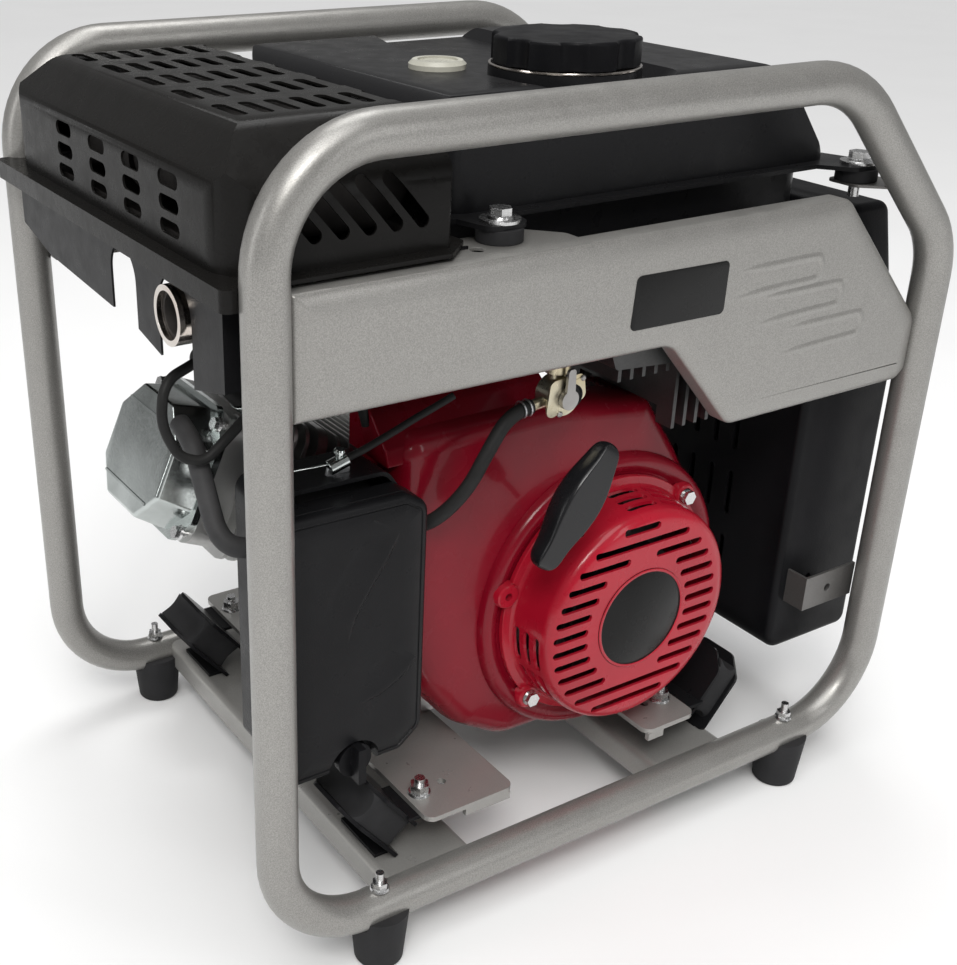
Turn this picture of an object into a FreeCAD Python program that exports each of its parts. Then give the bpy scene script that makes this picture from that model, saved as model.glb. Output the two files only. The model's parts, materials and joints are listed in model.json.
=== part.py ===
import FreeCAD, Part
import math, os

V = FreeCAD.Vector

# ---------------------------------------------------------------------------
# Driving dimensions, millimetres.
# Working frame: X along the length of the side hoops, Y from the near hoop to
# the far hoop, Z up, zero at the near hoop's lower left centre-line corner.
# Everything is moved by SHIFT at export, which puts the row's origin at the
# centre of the footprint on the plane that the four feet stand on.
# ---------------------------------------------------------------------------
TUBE_R = 14.0            # frame tube, 28 mm outside diameter
TUBE_WALL = 1.8
HOOP_W = 386.0           # hoop centre to hoop centre
HOOP_L = 563.0
HOOP_H = 537.0
HOOP_CHAMFER = ((442.0, 537.0), (563.0, 412.0))
HOOP_RADII = (72.0, 71.0, 87.0, 66.0, 72.0)
FOOT_X = (80.0, 481.0)
FOOT_BOTTOM = -46.0
FOOT_R_TOP, FOOT_R_BOT = 21.5, 17.5

CROSS_X = ((90.0, 165.0), (345.0, 420.0))
CROSS_TOP, CROSS_BOT, CROSS_T = 10.0, -12.0, 3.0

PLATE_TOP, PLATE_T = 47.0, 4.0
PLATE_L = (127.0, 204.0)
PLATE_R = (334.0, 386.0)
PLATE_Y = (10.0, 376.0)
MOUNT_X = (139.0, 374.0)
MOUNT_Y = (40.0, 346.0)
MIRROR_X = 262.0

CRANK_X, CRANK_Z = 316.0, 155.0
CYL_Y = 190.0
CYL_TILT = 24.0          # cylinder axis above horizontal
BORE_R = 35.0
CRANK_THROW = 27.0

RECOIL_Y = 13.0          # face of the recoil cover
RECOIL_R = 81.0
SHROUD_R = 115.0

GUARD = dict(x0=-12.0, x1=134.0, y0=18.0, y1=368.0, z0=462.0, z1=540.0, t=1.5)
TANK = dict(x0=152.0, x1=478.0, y0=54.0, y1=332.0, z0=424.0, seam=468.0, z1=539.0, t=1.2)
CAP_XY = (290.0, 115.0)
CAP_R = 50.0

BOX = dict(x0=489.0, x1=587.0, y0=35.0, y1=351.0, z0=56.0, z1=436.0, t=2.5)

SHIFT = V(-288.35, -193.0, 46.0)

os.makedirs("parts", exist_ok=True)
OUT = {}


# ---------------------------------------------------------------- helpers --
def box(x0, y0, z0, x1, y1, z1):
    return Part.makeBox(x1 - x0, y1 - y0, z1 - z0, V(x0, y0, z0))


def cyl(x, y, z, r, h, ax=(0, 0, 1)):
    return Part.makeCylinder(r, h, V(x, y, z), V(*ax))


def cone(x, y, z, r1, r2, h, ax=(0, 0, 1)):
    return Part.makeCone(r1, r2, h, V(x, y, z), V(*ax))


def rwire(pts, radii, closed=True):
    """Polygon through pts whose corners are rounded by tangent arcs."""
    n = len(pts)
    P = [V(*p) for p in pts]
    if not isinstance(radii, (list, tuple)):
        radii = [radii] * n
    segs = []
    for i in range(n):
        p = P[i]
        if (not closed and i in (0, n - 1)) or radii[i] <= 0.01:
            segs.append((p, None, p))
            continue
        a = (P[i - 1] - p)
        b = (P[(i + 1) % n] - p)
        a.normalize()
        b.normalize()
        ang = a.getAngle(b)
        t = radii[i] / math.tan(ang / 2)
        bis = a + b
        bis.normalize()
        c = p + bis * (radii[i] / math.sin(ang / 2))
        segs.append((p + a * t, c - bis * radii[i], p + b * t))
    edges = []
    for i in range(n):
        s, m, e = segs[i]
        if m is not None:
            edges.append(Part.Arc(s, m, e).toShape())
        if i == n - 1 and not closed:
            break
        nx = segs[(i + 1) % n][0]
        if (nx - e).Length > 1e-4:
            edges.append(Part.LineSegment(e, nx).toShape())
    return Part.Wire(edges)


def prism(plane, pts, a, b, radii=0.0):
    """Extrude a rounded polygon given in 'xz', 'yz' or 'xy' from a to b."""
    if plane == "xz":
        w = rwire([(p[0], a, p[1]) for p in pts], radii)
        return Part.Face(w).extrude(V(0, b - a, 0))
    if plane == "yz":
        w = rwire([(a, p[0], p[1]) for p in pts], radii)
        return Part.Face(w).extrude(V(b - a, 0, 0))
    w = rwire([(p[0], p[1], a) for p in pts], radii)
    return Part.Face(w).extrude(V(0, 0, b - a))


def fil(shape, r, pick):
    """Round the picked edges; keep the sharp shape if the kernel refuses."""
    es = [e for e in shape.Edges if pick(e)]
    if not es:
        return shape
    for rr in (r, r * 0.8, r * 0.5):
        try:
            s = shape.makeFillet(rr, es)
            if s.isValid() and s.Volume > 0 and len(s.Solids) == len(shape.Solids):
                return s
        except Exception:
            pass
    return shape


def mid(e):
    return e.valueAt((e.FirstParameter + e.LastParameter) / 2)


def pipe(path, r):
    """Round bar along a wire of lines and tangent arcs."""
    e = path.OrderedEdges[0] if hasattr(path, "OrderedEdges") else path.Edges[0]
    p = e.valueAt(e.FirstParameter)
    t = e.tangentAt(e.FirstParameter)
    prof = Part.Wire(Part.makeCircle(r, p, t))
    s = path.makePipeShell([prof], True, False)
    return s


def hose(pts, r, name):
    """Hose along runs joined by arcs that are as large as the runs allow."""
    P = [V(*p) for p in pts]
    n = len(P)
    radii = [0.0] * n
    for i in range(1, n - 1):
        a, b = P[i] - P[i - 1], P[i + 1] - P[i]
        turn = a.getAngle(b)
        radii[i] = 0.45 * min(a.Length, b.Length) / math.tan(turn / 2)
    w = rwire(pts, radii, closed=False)
    s = pipe(w, r)
    L = sum(e.Length for e in w.Edges)
    print("%s: length %.1f mm, volume ratio %.4f, radii %s" % (
        name, L, s.Volume / (math.pi * r * r * L), [round(q, 1) for q in radii[1:-1]]))
    return s


def union(*s):
    s = [q for q in s if q is not None]
    r = s[0].fuse(s[1:]) if len(s) > 1 else s[0]
    return r.removeSplitter()


def emit(name, shape, cut=None):
    if isinstance(shape, (list, tuple)):
        sol = []
        for q in shape:
            sol += q.Solids
        shape = Part.makeCompound(sol) if len(sol) > 1 else sol[0]
    OUT[name] = shape


def mirror_y(s):
    return s.mirror(V(0, HOOP_W / 2, 0), V(0, 1, 0))


def mirror_x(s):
    return s.mirror(V(MIRROR_X, 0, 0), V(1, 0, 0))


def hexbolt(x, y, z, af, head, r, length, ax, flange=None, ft=1.6):
    """Flange head pointing along ax, shank the other way; (x,y,z) under the head."""
    a = V(*ax)
    a.normalize()
    pts = []
    R = af / math.sqrt(3)
    for k in range(6):
        t = math.radians(60 * k)
        pts.append(V(R * math.cos(t), R * math.sin(t), 0))
    h = Part.Face(Part.makePolygon(pts + [pts[0]])).extrude(V(0, 0, head))
    h = h.common(Part.makeSphere(R * 1.02 + head * 0.55, V(0, 0, 0 - head * 0.1))) if head > 2 else h
    s = h
    if flange:
        s = s.fuse(Part.makeCone(flange, flange - 0.8, ft, V(0, 0, 0), V(0, 0, 1)))
    if length > 0:
        s = s.fuse(Part.makeCylinder(r, length, V(0, 0, 0.2), V(0, 0, -1)))
    s = s.removeSplitter()
    s.Placement = FreeCAD.Placement(V(x, y, z), FreeCAD.Rotation(V(0, 0, 1), a))
    return s


# ------------------------------------------------------------------ frame --
def hoop_wire(y):
    c = HOOP_CHAMFER
    pts = [(0, y, 0), (0, y, HOOP_H), (c[0][0], y, c[0][1]), (c[1][0], y, c[1][1]), (HOOP_L, y, 0)]
    return rwire(pts, list(HOOP_RADII))


def hoop(y):
    w = hoop_wire(y)
    outer = pipe(w, TUBE_R)
    inner = pipe(w, TUBE_R - TUBE_WALL)
    s = outer.cut(inner)
    for x in FOOT_X:
        s = s.cut(cyl(x, y, -20, 3.3, 40))
    return s


near = hoop(0.0)
far = hoop(HOOP_W)
emit("frame_hoop_near", near)
emit("frame_hoop_far", far)
tube_n = pipe(hoop_wire(0.0), TUBE_R)
tube_f = pipe(hoop_wire(HOOP_W), TUBE_R)
rail_n = cyl(60, 0, 0, TUBE_R, 420, (1, 0, 0))
rail_f = cyl(60, HOOP_W, 0, TUBE_R, 420, (1, 0, 0))

cm = []
for x0, x1 in CROSS_X:
    s = prism("xz", [(x0, CROSS_BOT), (x0, CROSS_TOP), (x1, CROSS_TOP), (x1, CROSS_BOT),
                     (x1 - CROSS_T, CROSS_BOT), (x1 - CROSS_T, CROSS_TOP - CROSS_T),
                     (x0 + CROSS_T, CROSS_TOP - CROSS_T), (x0 + CROSS_T, CROSS_BOT)], 0, HOOP_W,
              [0, 6, 6, 0, 0, 3, 3, 0])
    s = s.cut(rail_n).cut(rail_f)
    s = max(s.Solids, key=lambda q: q.Volume)
    cm.append(s)
emit("cross_members", cm)

# Stamped side panel: a shallow tray, its rim turned in, with a seat flange on top.
PO = [(14.6, 457), (454, 457), (548.4, 356), (548.4, 314), (540, 307), (362, 307), (300, 377), (14.6, 381)]
PR = [0, 16, 16, 7, 7, 14, 18, 0]
tray = prism("xz", PO, -6.0, 12.0, PR)
front_edges = lambda e: abs(mid(e).y + 6.0) < 0.01 and mid(e).x > 16
tray = fil(tray, 4.0, front_edges)
PI = [(5, 455), (453.2, 455), (546.4, 355.2), (546.4, 315), (539.2, 309), (362.9, 309), (301, 379), (5, 383)]
inner = prism("xz", PI, -4.0, 13.0, [0, 14, 14, 5, 5, 12, 20, 0])
panel = tray.cut(inner)
fl = prism("xy", [(40, -2), (225, -2), (225, 24), (205, 46), (60, 46), (40, 30)], 455.0, 457.0, [0, 0, 6, 6, 6, 6])
panel = panel.fuse(fl).removeSplitter()
for hx, hy, hr in ((154, 20, 5.0), (178, 31, 4.4), (130, 28, 3.1)):
    panel = panel.cut(cyl(hx, hy, 450, hr, 10))
panel = max(panel.Solids, key=lambda q: q.Volume)
emit("side_panel_near", panel)
emit("side_panel_far", mirror_y(panel))

# Brackets from the right-hand legs to the control box
br = prism("xy", [(500, 14.2), (558, 14.2), (558, 16.7), (502.5, 16.7), (502.5, 34.7), (500, 34.7)], 104, 134, 0)
br = br.cut(tube_n).cut(cyl(527, 0, 119, 3.4, 40, (0, 1, 0)))
br2 = box(502, 16, 104, 552, 33, 106.5)
br = union(max(br.Solids, key=lambda q: q.Volume), br2)
# tabs welded inside the sloping tubes carry the right-hand ears of the tank
tab = prism("xy", [(488, 49), (516, 49), (530, 22), (530, 6), (506, 6), (488, 22)], 455.0, 457.0, [6, 6, 4, 0, 0, 6])
tab = tab.cut(tube_n).cut(cyl(502, 34, 450, 4.4, 12))
tab = max(tab.Solids, key=lambda q: q.Volume)
emit("panel_brackets", [br, mirror_y(br), tab, mirror_y(tab)])

# Feet: tapered rubber buttons, saddled to the tube
feet, fb = [], []
for x in FOOT_X:
    for y in (0.0, HOOP_W):
        f = cone(x, y, FOOT_BOTTOM, FOOT_R_BOT, FOOT_R_TOP, 44)
        f = fil(f, 3.0, lambda e: abs(mid(e).z - FOOT_BOTTOM) < 0.01)
        f = f.cut(cyl(x - 40, y, 0, TUBE_R, 80, (1, 0, 0)))
        f = f.cut(cyl(x, y, FOOT_BOTTOM - 1, 8.0, 17)).cut(cyl(x, y, -60, 3.3, 80))
        f = max(f.Solids, key=lambda q: q.Volume)
        feet.append(f)
        b = cyl(x, y, FOOT_BOTTOM + 16, 3.0, 58.0).fuse([
            cyl(x, y, FOOT_BOTTOM + 11.5, 6.0, 4.5),
            hexbolt(x, y, 14.2, 10, 6, 3, 0, (0, 0, 1), flange=7.1)]).removeSplitter()
        b = b.cut(cyl(x - 20, y, 0, TUBE_R - 0.001, 40, (1, 0, 0)).cut(cyl(x, y, -30, 3.3, 60)))
        fb.append(max(b.Solids, key=lambda q: q.Volume))
emit("rubber_feet", feet)

# ---------------------------------------------------------------- muffler --
G = GUARD


def guard_solid(o):
    """Guard envelope, shrunk inwards by o on every side."""
    xz = [(G["x0"] + o, G["z0"] - 1), (G["x0"] + o, 512 - o * 0.4), (14 + o, G["z1"] - o), (124 - o, G["z1"] - o),
          (G["x1"] - o, 528 - o), (G["x1"] - o, G["z0"] - 1)]
    yz = [(G["y0"] + o, G["z0"] - 1), (G["y0"] + o, 508 - o * 0.4), (56 + o, G["z1"] - o),
          (330 - o, G["z1"] - o), (G["y1"] - o, 508 - o * 0.4), (G["y1"] - o, G["z0"] - 1)]
    a = prism("xz", xz, 0, HOOP_W, [0, 22, 22, 6, 6, 0])
    b = prism("yz", yz, -40, 200, [0, 22, 22, 22, 22, 0])
    c = prism("xy", [(G["x0"] + o, G["y0"] + o), (G["x1"] - o, G["y0"] + o), (G["x1"] - o, G["y1"] - o),
                     (G["x0"] + o, G["y1"] - o)], 440, 560, [30 - o, 4, 4, 30 - o])
    return a.common(b).common(c)


guard = guard_solid(0.0).cut(guard_solid(G["t"]))
flange = prism("xy", [(-22, 6), (126, 6), (148, 26), (148, HOOP_W - 26), (126, HOOP_W - 6), (-22, HOOP_W - 6)], 459.5, 462.0, [6, 4, 4, 4, 4, 6])
lip = prism("xy", [(-22, 6), (0, 6), (0, HOOP_W - 6), (-22, HOOP_W - 6)], 449.0, 461.0, [6, 0, 0, 6])
lip = lip.cut(prism("xy", [(-20, 8), (10, 8), (10, HOOP_W - 8), (-20, HOOP_W - 8)], 440.0, 470.0, [4.5, 0, 0, 4.5]))
hole = guard_solid(G["t"])
hole = prism("xy", [(G["x0"] + 1.5, G["y0"] + 1.5), (G["x1"] - 1.5, G["y0"] + 1.5), (G["x1"] - 1.5, G["y1"] - 1.5),
                    (G["x0"] + 1.5, G["y1"] - 1.5)], 450, 463, [28.5, 3, 3, 28.5])
guard = guard.fuse([flange, lip]).cut(hole)
legs = cyl(0, 0, 400, TUBE_R + 0.5, 160).fuse(cyl(0, HOOP_W, 400, TUBE_R + 0.5, 160))
guard = guard.cut(legs).cut(tube_n).cut(tube_f)


def slot(plane, c, L, w, depth, ang=0.0):
    """Obround cutter centred at c, length L along the in-plane direction."""
    s = box(-L / 2 + w / 2, -w / 2, -depth / 2, L / 2 - w / 2, w / 2, depth / 2)
    s = s.fuse([cyl(-L / 2 + w / 2, 0, -depth / 2, w / 2, depth), cyl(L / 2 - w / 2, 0, -depth / 2, w / 2, depth)])
    s = s.removeSplitter()
    s.rotate(V(0, 0, 0), V(0, 0, 1), ang)
    if plane == "yz":
        s.rotate(V(0, 0, 0), V(0, 0, 1), 90)
        s.rotate(V(0, 0, 0), V(0, 1, 0), 90)
    elif plane == "xz":
        s.rotate(V(0, 0, 0), V(1, 0, 0), 90)
    s.translate(V(*c))
    return s


GUARD_TOP_X = [24 + 16.7 * k for k in range(7)]
GUARD_TOP_Y = [84 + 55 * k for k in range(5)]
cuts = []
for x in GUARD_TOP_X:
    for y in GUARD_TOP_Y:
        cuts.append(slot("xy", (x, y, G["z1"]), 36, 8.5, 30, 90))
for y in (93, 147, 201, 258):
    for z in (475, 489, 503):
        cuts.append(slot("yz", (G["x0"], y, z), 27, 9, 16, 0))
for x in (30, 48, 65.8, 83.5, 101.3):
    for yy in (G["y0"], G["y1"]):
        cuts.append(slot("xz", (x, yy, 493.5), 43, 8.6, 16, -49))
for gy in (28.0, HOOP_W - 28.0):
    cuts.append(cyl(130.0, gy, 455, 3.3, 10))
guard = guard.cut(cuts)
guard = max(guard.Solids, key=lambda q: q.Volume)
emit("muffler_guard", guard)

# Lower shroud plate round the exhaust outlet, with arched cut-outs
sh = prism("yz", [(24, 458.8), (24, 396), (70, 384), (110, 392), (150, 400), (300, 408), (352, 420), (352, 458.8)], -14, -12.5, 0)
sh = sh.cut(cyl(-20, 165, 428, 20, 20, (1, 0, 0)).fuse(box(-20, 145, 380, 0, 185, 428)))
sh = sh.cut(cyl(-20, 88, 425, 23, 20, (1, 0, 0)).fuse(box(-20, 65, 380, 0, 111, 425)))
sh_n = prism("xz", [(-14, 458.8), (150, 458.8), (150, 440), (60, 402), (-14, 396)], 24, 25.5, 0)
sh_f = prism("xz", [(-14, 458.8), (150, 458.8), (150, 440), (60, 430), (-14, 420)], 350.5, 352, 0)
shroud_low = union(sh, sh_n, sh_f)
shroud_low = shroud_low.cut(legs)
emit("muffler_shroud", max(shroud_low.Solids, key=lambda q: q.Volume))

muf = prism("xz", [(8, 470), (8, 524), (124, 524), (124, 470)], 48, 338, 26)
muf = fil(muf, 6, lambda e: abs(mid(e).y - 48) < 0.01 or abs(mid(e).y - 338) < 0.01)
rimm = prism("xz", [(5, 467), (5, 527), (127, 527), (127, 467)], 190, 196, 28)
out_pipe = cyl(30, 88, 425, 15, 47, (0, 0, 1))
out_el = cyl(-14.8, 88, 425, 15, 44.8, (1, 0, 0)).fuse(Part.makeSphere(15, V(30, 88, 425)))
bore = cyl(-20, 88, 425, 12.5, 50, (1, 0, 0)).fuse(cyl(30, 88, 425, 12.5, 60, (0, 0, 1)))
hp0 = V(CRANK_X, CYL_Y + 22, CRANK_Z) + V(-math.cos(math.radians(CYL_TILT)), 0, math.sin(math.radians(CYL_TILT))) * 270 \
    + V(math.sin(math.radians(CYL_TILT)), 0, math.cos(math.radians(CYL_TILT))) * 64.2
hp1 = hp0 + V(math.sin(math.radians(CYL_TILT)), 0, math.cos(math.radians(CYL_TILT))) * 34
hpw = rwire([tuple(hp0), tuple(hp1), (hp1.x, hp1.y, 474)], [0, 60, 0], closed=False)
header = pipe(hpw, 14.0)
bore = bore.fuse(pipe(hpw, 12.0))
muffler = union(muf, rimm, out_pipe, out_el, header).cut(bore)
emit("muffler", max(muffler.Solids, key=lambda q: q.Volume))
tip = cyl(-19, 88, 425, 18.5, 14, (1, 0, 0)).cut(cyl(-15, 88, 425, 15.05, 20, (1, 0, 0))).cut(cyl(-20, 88, 425, 14.8, 5.2, (1, 0, 0)))
emit("exhaust_tip", max(tip.Solids, key=lambda q: q.Volume))

# ------------------------------------------------------------------- tank --
T = TANK


def tank_up(o):
    xz = [(T["x0"] + o, T["seam"] - 2), (T["x0"] + o, T["z1"] - o), (438 - o, T["z1"] - o), (494 - o * 1.4, T["seam"] - 2)]
    yz = [(T["y0"] + o, T["seam"] - 2), (T["y0"] + 3 + o, T["z1"] - o), (T["y1"] - 3 - o, T["z1"] - o), (T["y1"] - o, T["seam"] - 2)]
    a = prism("xz", xz, 0, HOOP_W, [0, 18 - o, 26 - o, 0])
    b = prism("yz", yz, 100, 560, [0, 18 - o, 18 - o, 0])
    c = prism("xy", [(T["x0"] + o, T["y0"] + o), (500 - o, T["y0"] + o), (500 - o, T["y1"] - o), (T["x0"] + o, T["y1"] - o)], 400, 560,
              [24 - o, 24 - o, 38 - o, 38 - o])
    s = a.common(b).common(c)
    # drip dish round the filler, running out over the far edge
    lo_p = [(CAP_XY[0] - 56 - o, 62), (CAP_XY[0] + 58 + o, 62), (CAP_XY[0] + 64 + o, 180), (350 + o, 250), (358 + o, 345), (282 - o, 345), (250 - o, 250), (CAP_XY[0] - 58 - o, 190)]
    hi_p = [(CAP_XY[0] - 62 - o, 56), (CAP_XY[0] + 64 + o, 56), (CAP_XY[0] + 71 + o, 178), (358 + o, 250), (366 + o, 345), (273 - o, 345), (242 - o, 250), (CAP_XY[0] - 64 - o, 192)]
    zf = T["z1"] - 8.0 - o
    rr = [30, 30, 30, 40, 5, 5, 40, 30]
    lo_w = rwire([(p[0], p[1], zf) for p in lo_p], rr)
    hi_w = rwire([(p[0], p[1], zf + 9.0 + o) for p in hi_p], rr)
    dish = Part.makeLoft([lo_w, hi_w], True)
    return s.cut(dish)


def tank_lo(o):
    s = prism("xy", [(T["x0"] + 6 + o, T["y0"] + 6 + o), (478 - o, T["y0"] + 6 + o), (478 - o, T["y1"] - 6 - o),
                     (T["x0"] + 6 + o, T["y1"] - 6 - o)], T["z0"] + o, T["seam"] - 1, [20 - o] * 4)
    return fil(s, 12 - o, lambda e: abs(mid(e).z - (T["z0"] + o)) < 0.01)


seam = prism("xy", [(146, 44), (504, 44), (504, 342), (146, 342)], 466.0, 469.0, 22)
EARS = ((178, 31), (502, 34), (178, HOOP_W - 31), (502, HOOP_W - 34))
ears = []
for ex, ey in EARS:
    s = 1 if ey > 190 else -1
    yy = 50 if s < 0 else HOOP_W - 50
    p = [(ex - 22, yy), (ex - 14, ey + s * 12), (ex + 14, ey + s * 12), (ex + 22, yy)]
    if ex > 300:
        p = [(466, yy), (ex - 14, ey + s * 12), (ex + 14, ey + s * 12), (ex + 14, ey - s * 8), (500, yy - s * 40)]
    ears.append(prism("xy", p, 466.0, 469.0, [0, 10, 10, 0] if ex < 300 else [0, 8, 10, 8, 0]))
tank = tank_up(0).fuse([tank_lo(0), seam] + ears)
neck_x, neck_y = CAP_XY
tank = tank.fuse([cyl(neck_x, neck_y, 529, 51.5, 12.5), cyl(neck_x, neck_y, 529, 31, 20)])
tank = tank.cut(tank_up(T["t"]).fuse(tank_lo(T["t"])).fuse(box(170, 80, 455, 460, 310, 470)))
tank = tank.cut(cyl(neck_x, neck_y, 500, 28.5, 80))
GAUGE_XY = (216.0, 158.0)
tank = tank.cut(cyl(GAUGE_XY[0], GAUGE_XY[1], 520, 12.0, 40))
for ex, ey in EARS:
    tank = tank.cut(cyl(ex, ey, 440, 4.4, 60))
tank = tank.cut(tube_n).cut(tube_f)
tank = max(tank.Solids, key=lambda q: q.Volume)
emit("fuel_tank", tank)
bush = []
for ex, ey in EARS:
    b = cyl(ex, ey, 457, 15, 9)
    b = b.cut(cyl(ex, ey, 440, 4.4, 60))
    bush.append(b)
emit("tank_bushes", bush)

gauge = union(cyl(GAUGE_XY[0], GAUGE_XY[1], 539.05, 19.5, 3.2), cyl(GAUGE_XY[0], GAUGE_XY[1], 505, 11.9, 35),
              cone(GAUGE_XY[0], GAUGE_XY[1], 542.2, 19.5, 17, 2.5))
gauge = gauge.cut(cyl(GAUGE_XY[0], GAUGE_XY[1], 543.4, 13.5, 3))
emit("fuel_gauge", gauge)

# Lobed cap: a round skirt with eight finger scallops
cap = cyl(neck_x, neck_y, 544.0, CAP_R, 18.0)
for k in range(8):
    t = math.radians(45 * k + 12)
    cap = cap.cut(cyl(neck_x + math.cos(t) * (CAP_R + 11), neck_y + math.sin(t) * (CAP_R + 11), 540, 15, 30))
cap = cap.cut(cyl(neck_x, neck_y, 541, 31.06, 12))
cap = fil(cap, 3.0, lambda e: abs(mid(e).z - 562) < 0.01)
emit("fuel_cap", cap)

# Fuel valve under the tank's near side, its lever facing out
vx, vy, vz = 240.0, 36.0, 345.0
valve = union(cyl(vx, vy - 6, vz - 4, 13, 16, (0, 1, 0)), cyl(vx, vy + 4, vz - 4, 6, 80), cyl(vx, vy + 4, vz + 12, 9, 12),
              cyl(vx, vy + 2, vz - 6, 4.0, 22, (-1, 0, -0.1)))
plate = prism("xz", [(vx - 17, vz - 18), (vx + 17, vz - 6), (vx + 14, vz + 12), (vx - 14, vz + 10)], vy - 7.5, vy - 6, [5, 5, 5, 5])
valve = union(valve, plate).cut(cyl(vx, vy - 20, vz - 4, 4.05, 22, (0, 1, 0)))
emit("fuel_valve", max(valve.Solids, key=lambda q: q.Volume))
lever = union(cyl(vx, vy - 12, vz - 4, 7, 4.2, (0, 1, 0)), cyl(vx, vy - 11.8, vz - 4, 4.0, 12, (0, 1, 0)),
              prism("xz", [(vx - 4, vz - 8), (vx + 4, vz - 8), (vx + 3, vz + 18), (vx - 3, vz + 18)], vy - 12, vy - 9.5, [0, 0, 2.5, 2.5]))
emit("fuel_valve_lever", lever)

# ---------------------------------------------------------- engine mounts --
def plate_solid(x0, x1, l0, l1_):
    y0, y1 = PLATE_Y
    a = prism("xy", [(x0, y0), (x1, y0), (x1, y1), (x0, y1)], PLATE_TOP - PLATE_T, PLATE_TOP, 8)
    l1 = prism("yz", [(y0, PLATE_TOP - PLATE_T), (y0, 37), (y0 + PLATE_T, 37), (y0 + PLATE_T, PLATE_TOP - 1)], l0, l1_, 0)
    return a.fuse([l1, mirror_y(l1)])


pl = plate_solid(PLATE_L[0], PLATE_L[1], 160.0, 200.0)
pr_ = plate_solid(PLATE_R[0], PLATE_R[1], 336.5, 352.0)
for y in MOUNT_Y:
    pl = pl.cut(cyl(MOUNT_X[0], y, 30, 4.4, 30))
    pr_ = pr_.cut(cyl(MOUNT_X[1], y, 30, 4.4, 30))
for y in (42, HOOP_W - 42):
    pl = pl.cut(cyl(160, y, 30, 3.5, 30))
    pr_ = pr_.cut(slot("xy", (358, y + 2, 45), 14, 7, 20, 90))
pl = pl.removeSplitter()
pr_ = pr_.removeSplitter()
emit("engine_plates", [pl, pr_])


def rotbox(cx, cz, half_u, half_w, y0, y1, ang):
    """Block in XZ whose long side lies along ang, centred on (cx, cz)."""
    b = box(-half_u, y0, -half_w, half_u, y1, half_w)
    b.rotate(V(0, 0, 0), V(0, 1, 0), -ang)
    b.translate(V(cx, 0, cz))
    return b


# Inclined sandwich mounts: a steel flange on the cross member, a rubber
# block and an upper flange whose foot is bolted under the engine plate.
ISO_ANG = 51.0
ISO_Y = (24.0, 88.0)
ISO_C = V(89.0, 0.0, 35.0)
iso_d = V(-math.cos(math.radians(ISO_ANG)), 0, math.sin(math.radians(ISO_ANG)))
iso_n = V(iso_d.z, 0, -iso_d.x)


def iso_place(q):
    """Local X up the slope, Y along the frame, Z towards the engine."""
    q = q.copy()
    m = FreeCAD.Matrix(iso_d.x, 0, iso_n.x, ISO_C.x, 0, 1, 0, 0, iso_d.z, 0, iso_n.z, ISO_C.z, 0, 0, 0, 1)
    return q.transformGeometry(m)


def iso_flange(z0, z1, u0, u1, c):
    a, b = ISO_Y
    pts = [(u0, a), (u1 - c, a), (u1, a + c), (u1, b - c), (u1 - c, b), (u0, b)]
    return prism("xy", pts, z0, z1, [4, 8, 8, 8, 8, 4])


iso_b, iso_r = [], []
base = iso_place(iso_flange(0.0, 3.0, -34.0, 34.0, 16.0))
base = base.cut(box(0, 0, -60, 300, 200, CROSS_TOP))
foot_tab = box(96.0, ISO_Y[0] + 8, CROSS_TOP, 124.0, ISO_Y[1] - 8, CROSS_TOP + 3.0)
foot_tab = foot_tab.cut(iso_place(box(-60, -10, 2.9, 60, 200, 40).cut(box(-100, -20, -1, -90, -10, 1)))) if False else foot_tab
rub = box(-26, ISO_Y[0] + 3, 3.0, 27, ISO_Y[1] - 3, 26)
rub = fil(rub, 9, lambda e: abs(mid(e).z - 14.5) < 1.0)
g1 = Part.makeCylinder(17, 120, V(-37, ISO_Y[0] - 20, 14.5), V(0, 1, 0))
g2 = Part.makeCylinder(17, 120, V(38, ISO_Y[0] - 20, 14.5), V(0, 1, 0))
rub = iso_place(rub.cut([g1, g2]))
rub = rub.cut(box(0, 0, -60, 300, 200, CROSS_TOP + 3.3))
upf = iso_place(iso_flange(26.0, 29.0, -28.0, 30.0, 14.0))
tab = box(112, MOUNT_Y[0] - 18, 40.0, 156, MOUNT_Y[0] + 22, 43.0)
rib = prism("xz", [(108, 52), (124, 33), (150, 40.5), (120, 43)], MOUNT_Y[0] + 19, MOUNT_Y[0] + 22, 0)
tab = tab.cut(iso_place(box(-80, -20, -40, 80, 220, 27)))
topb = union(upf, tab)
topb = topb.cut(cyl(MOUNT_X[0], MOUNT_Y[0], 30, 4.05, 40))
topb = topb.cut(pl)
topb = max(topb.Solids, key=lambda q: q.Volume)
base = union(base, foot_tab)
base = base.cut(iso_place(box(-80, -20, 3.0, 80, 220, 60)))
base = max(base.Solids, key=lambda q: q.Volume)
rub = rub.cut(base).cut(topb)
rub = max(rub.Solids, key=lambda q: q.Volume)


def right_side(q):
    return q.mirror(V(MIRROR_X, 0, 0), V(1, 0, 0))


top_r = right_side(union(upf, tab))
hole_r = cyl(MOUNT_X[1], MOUNT_Y[0], 30, 4.05, 40)
tab_r = box(MOUNT_X[1] - 16, MOUNT_Y[0] - 18, 40.0, 2 * MIRROR_X - 112, MOUNT_Y[0] + 22, 43.0)
top_r = right_side(upf).fuse(tab_r.cut(right_side(iso_place(box(-80, -20, -40, 80, 220, 27)))))
top_r = top_r.removeSplitter().cut(hole_r).cut(pr_)
top_r = max(top_r.Solids, key=lambda q: q.Volume)
for q in (base, right_side(base), topb, top_r):
    iso_b += [q, mirror_y(q)]
for q in (rub, right_side(rub)):
    iso_r += [q, mirror_y(q)]
emit("isolator_brackets", iso_b)
emit("isolator_rubbers", iso_r)

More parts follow.
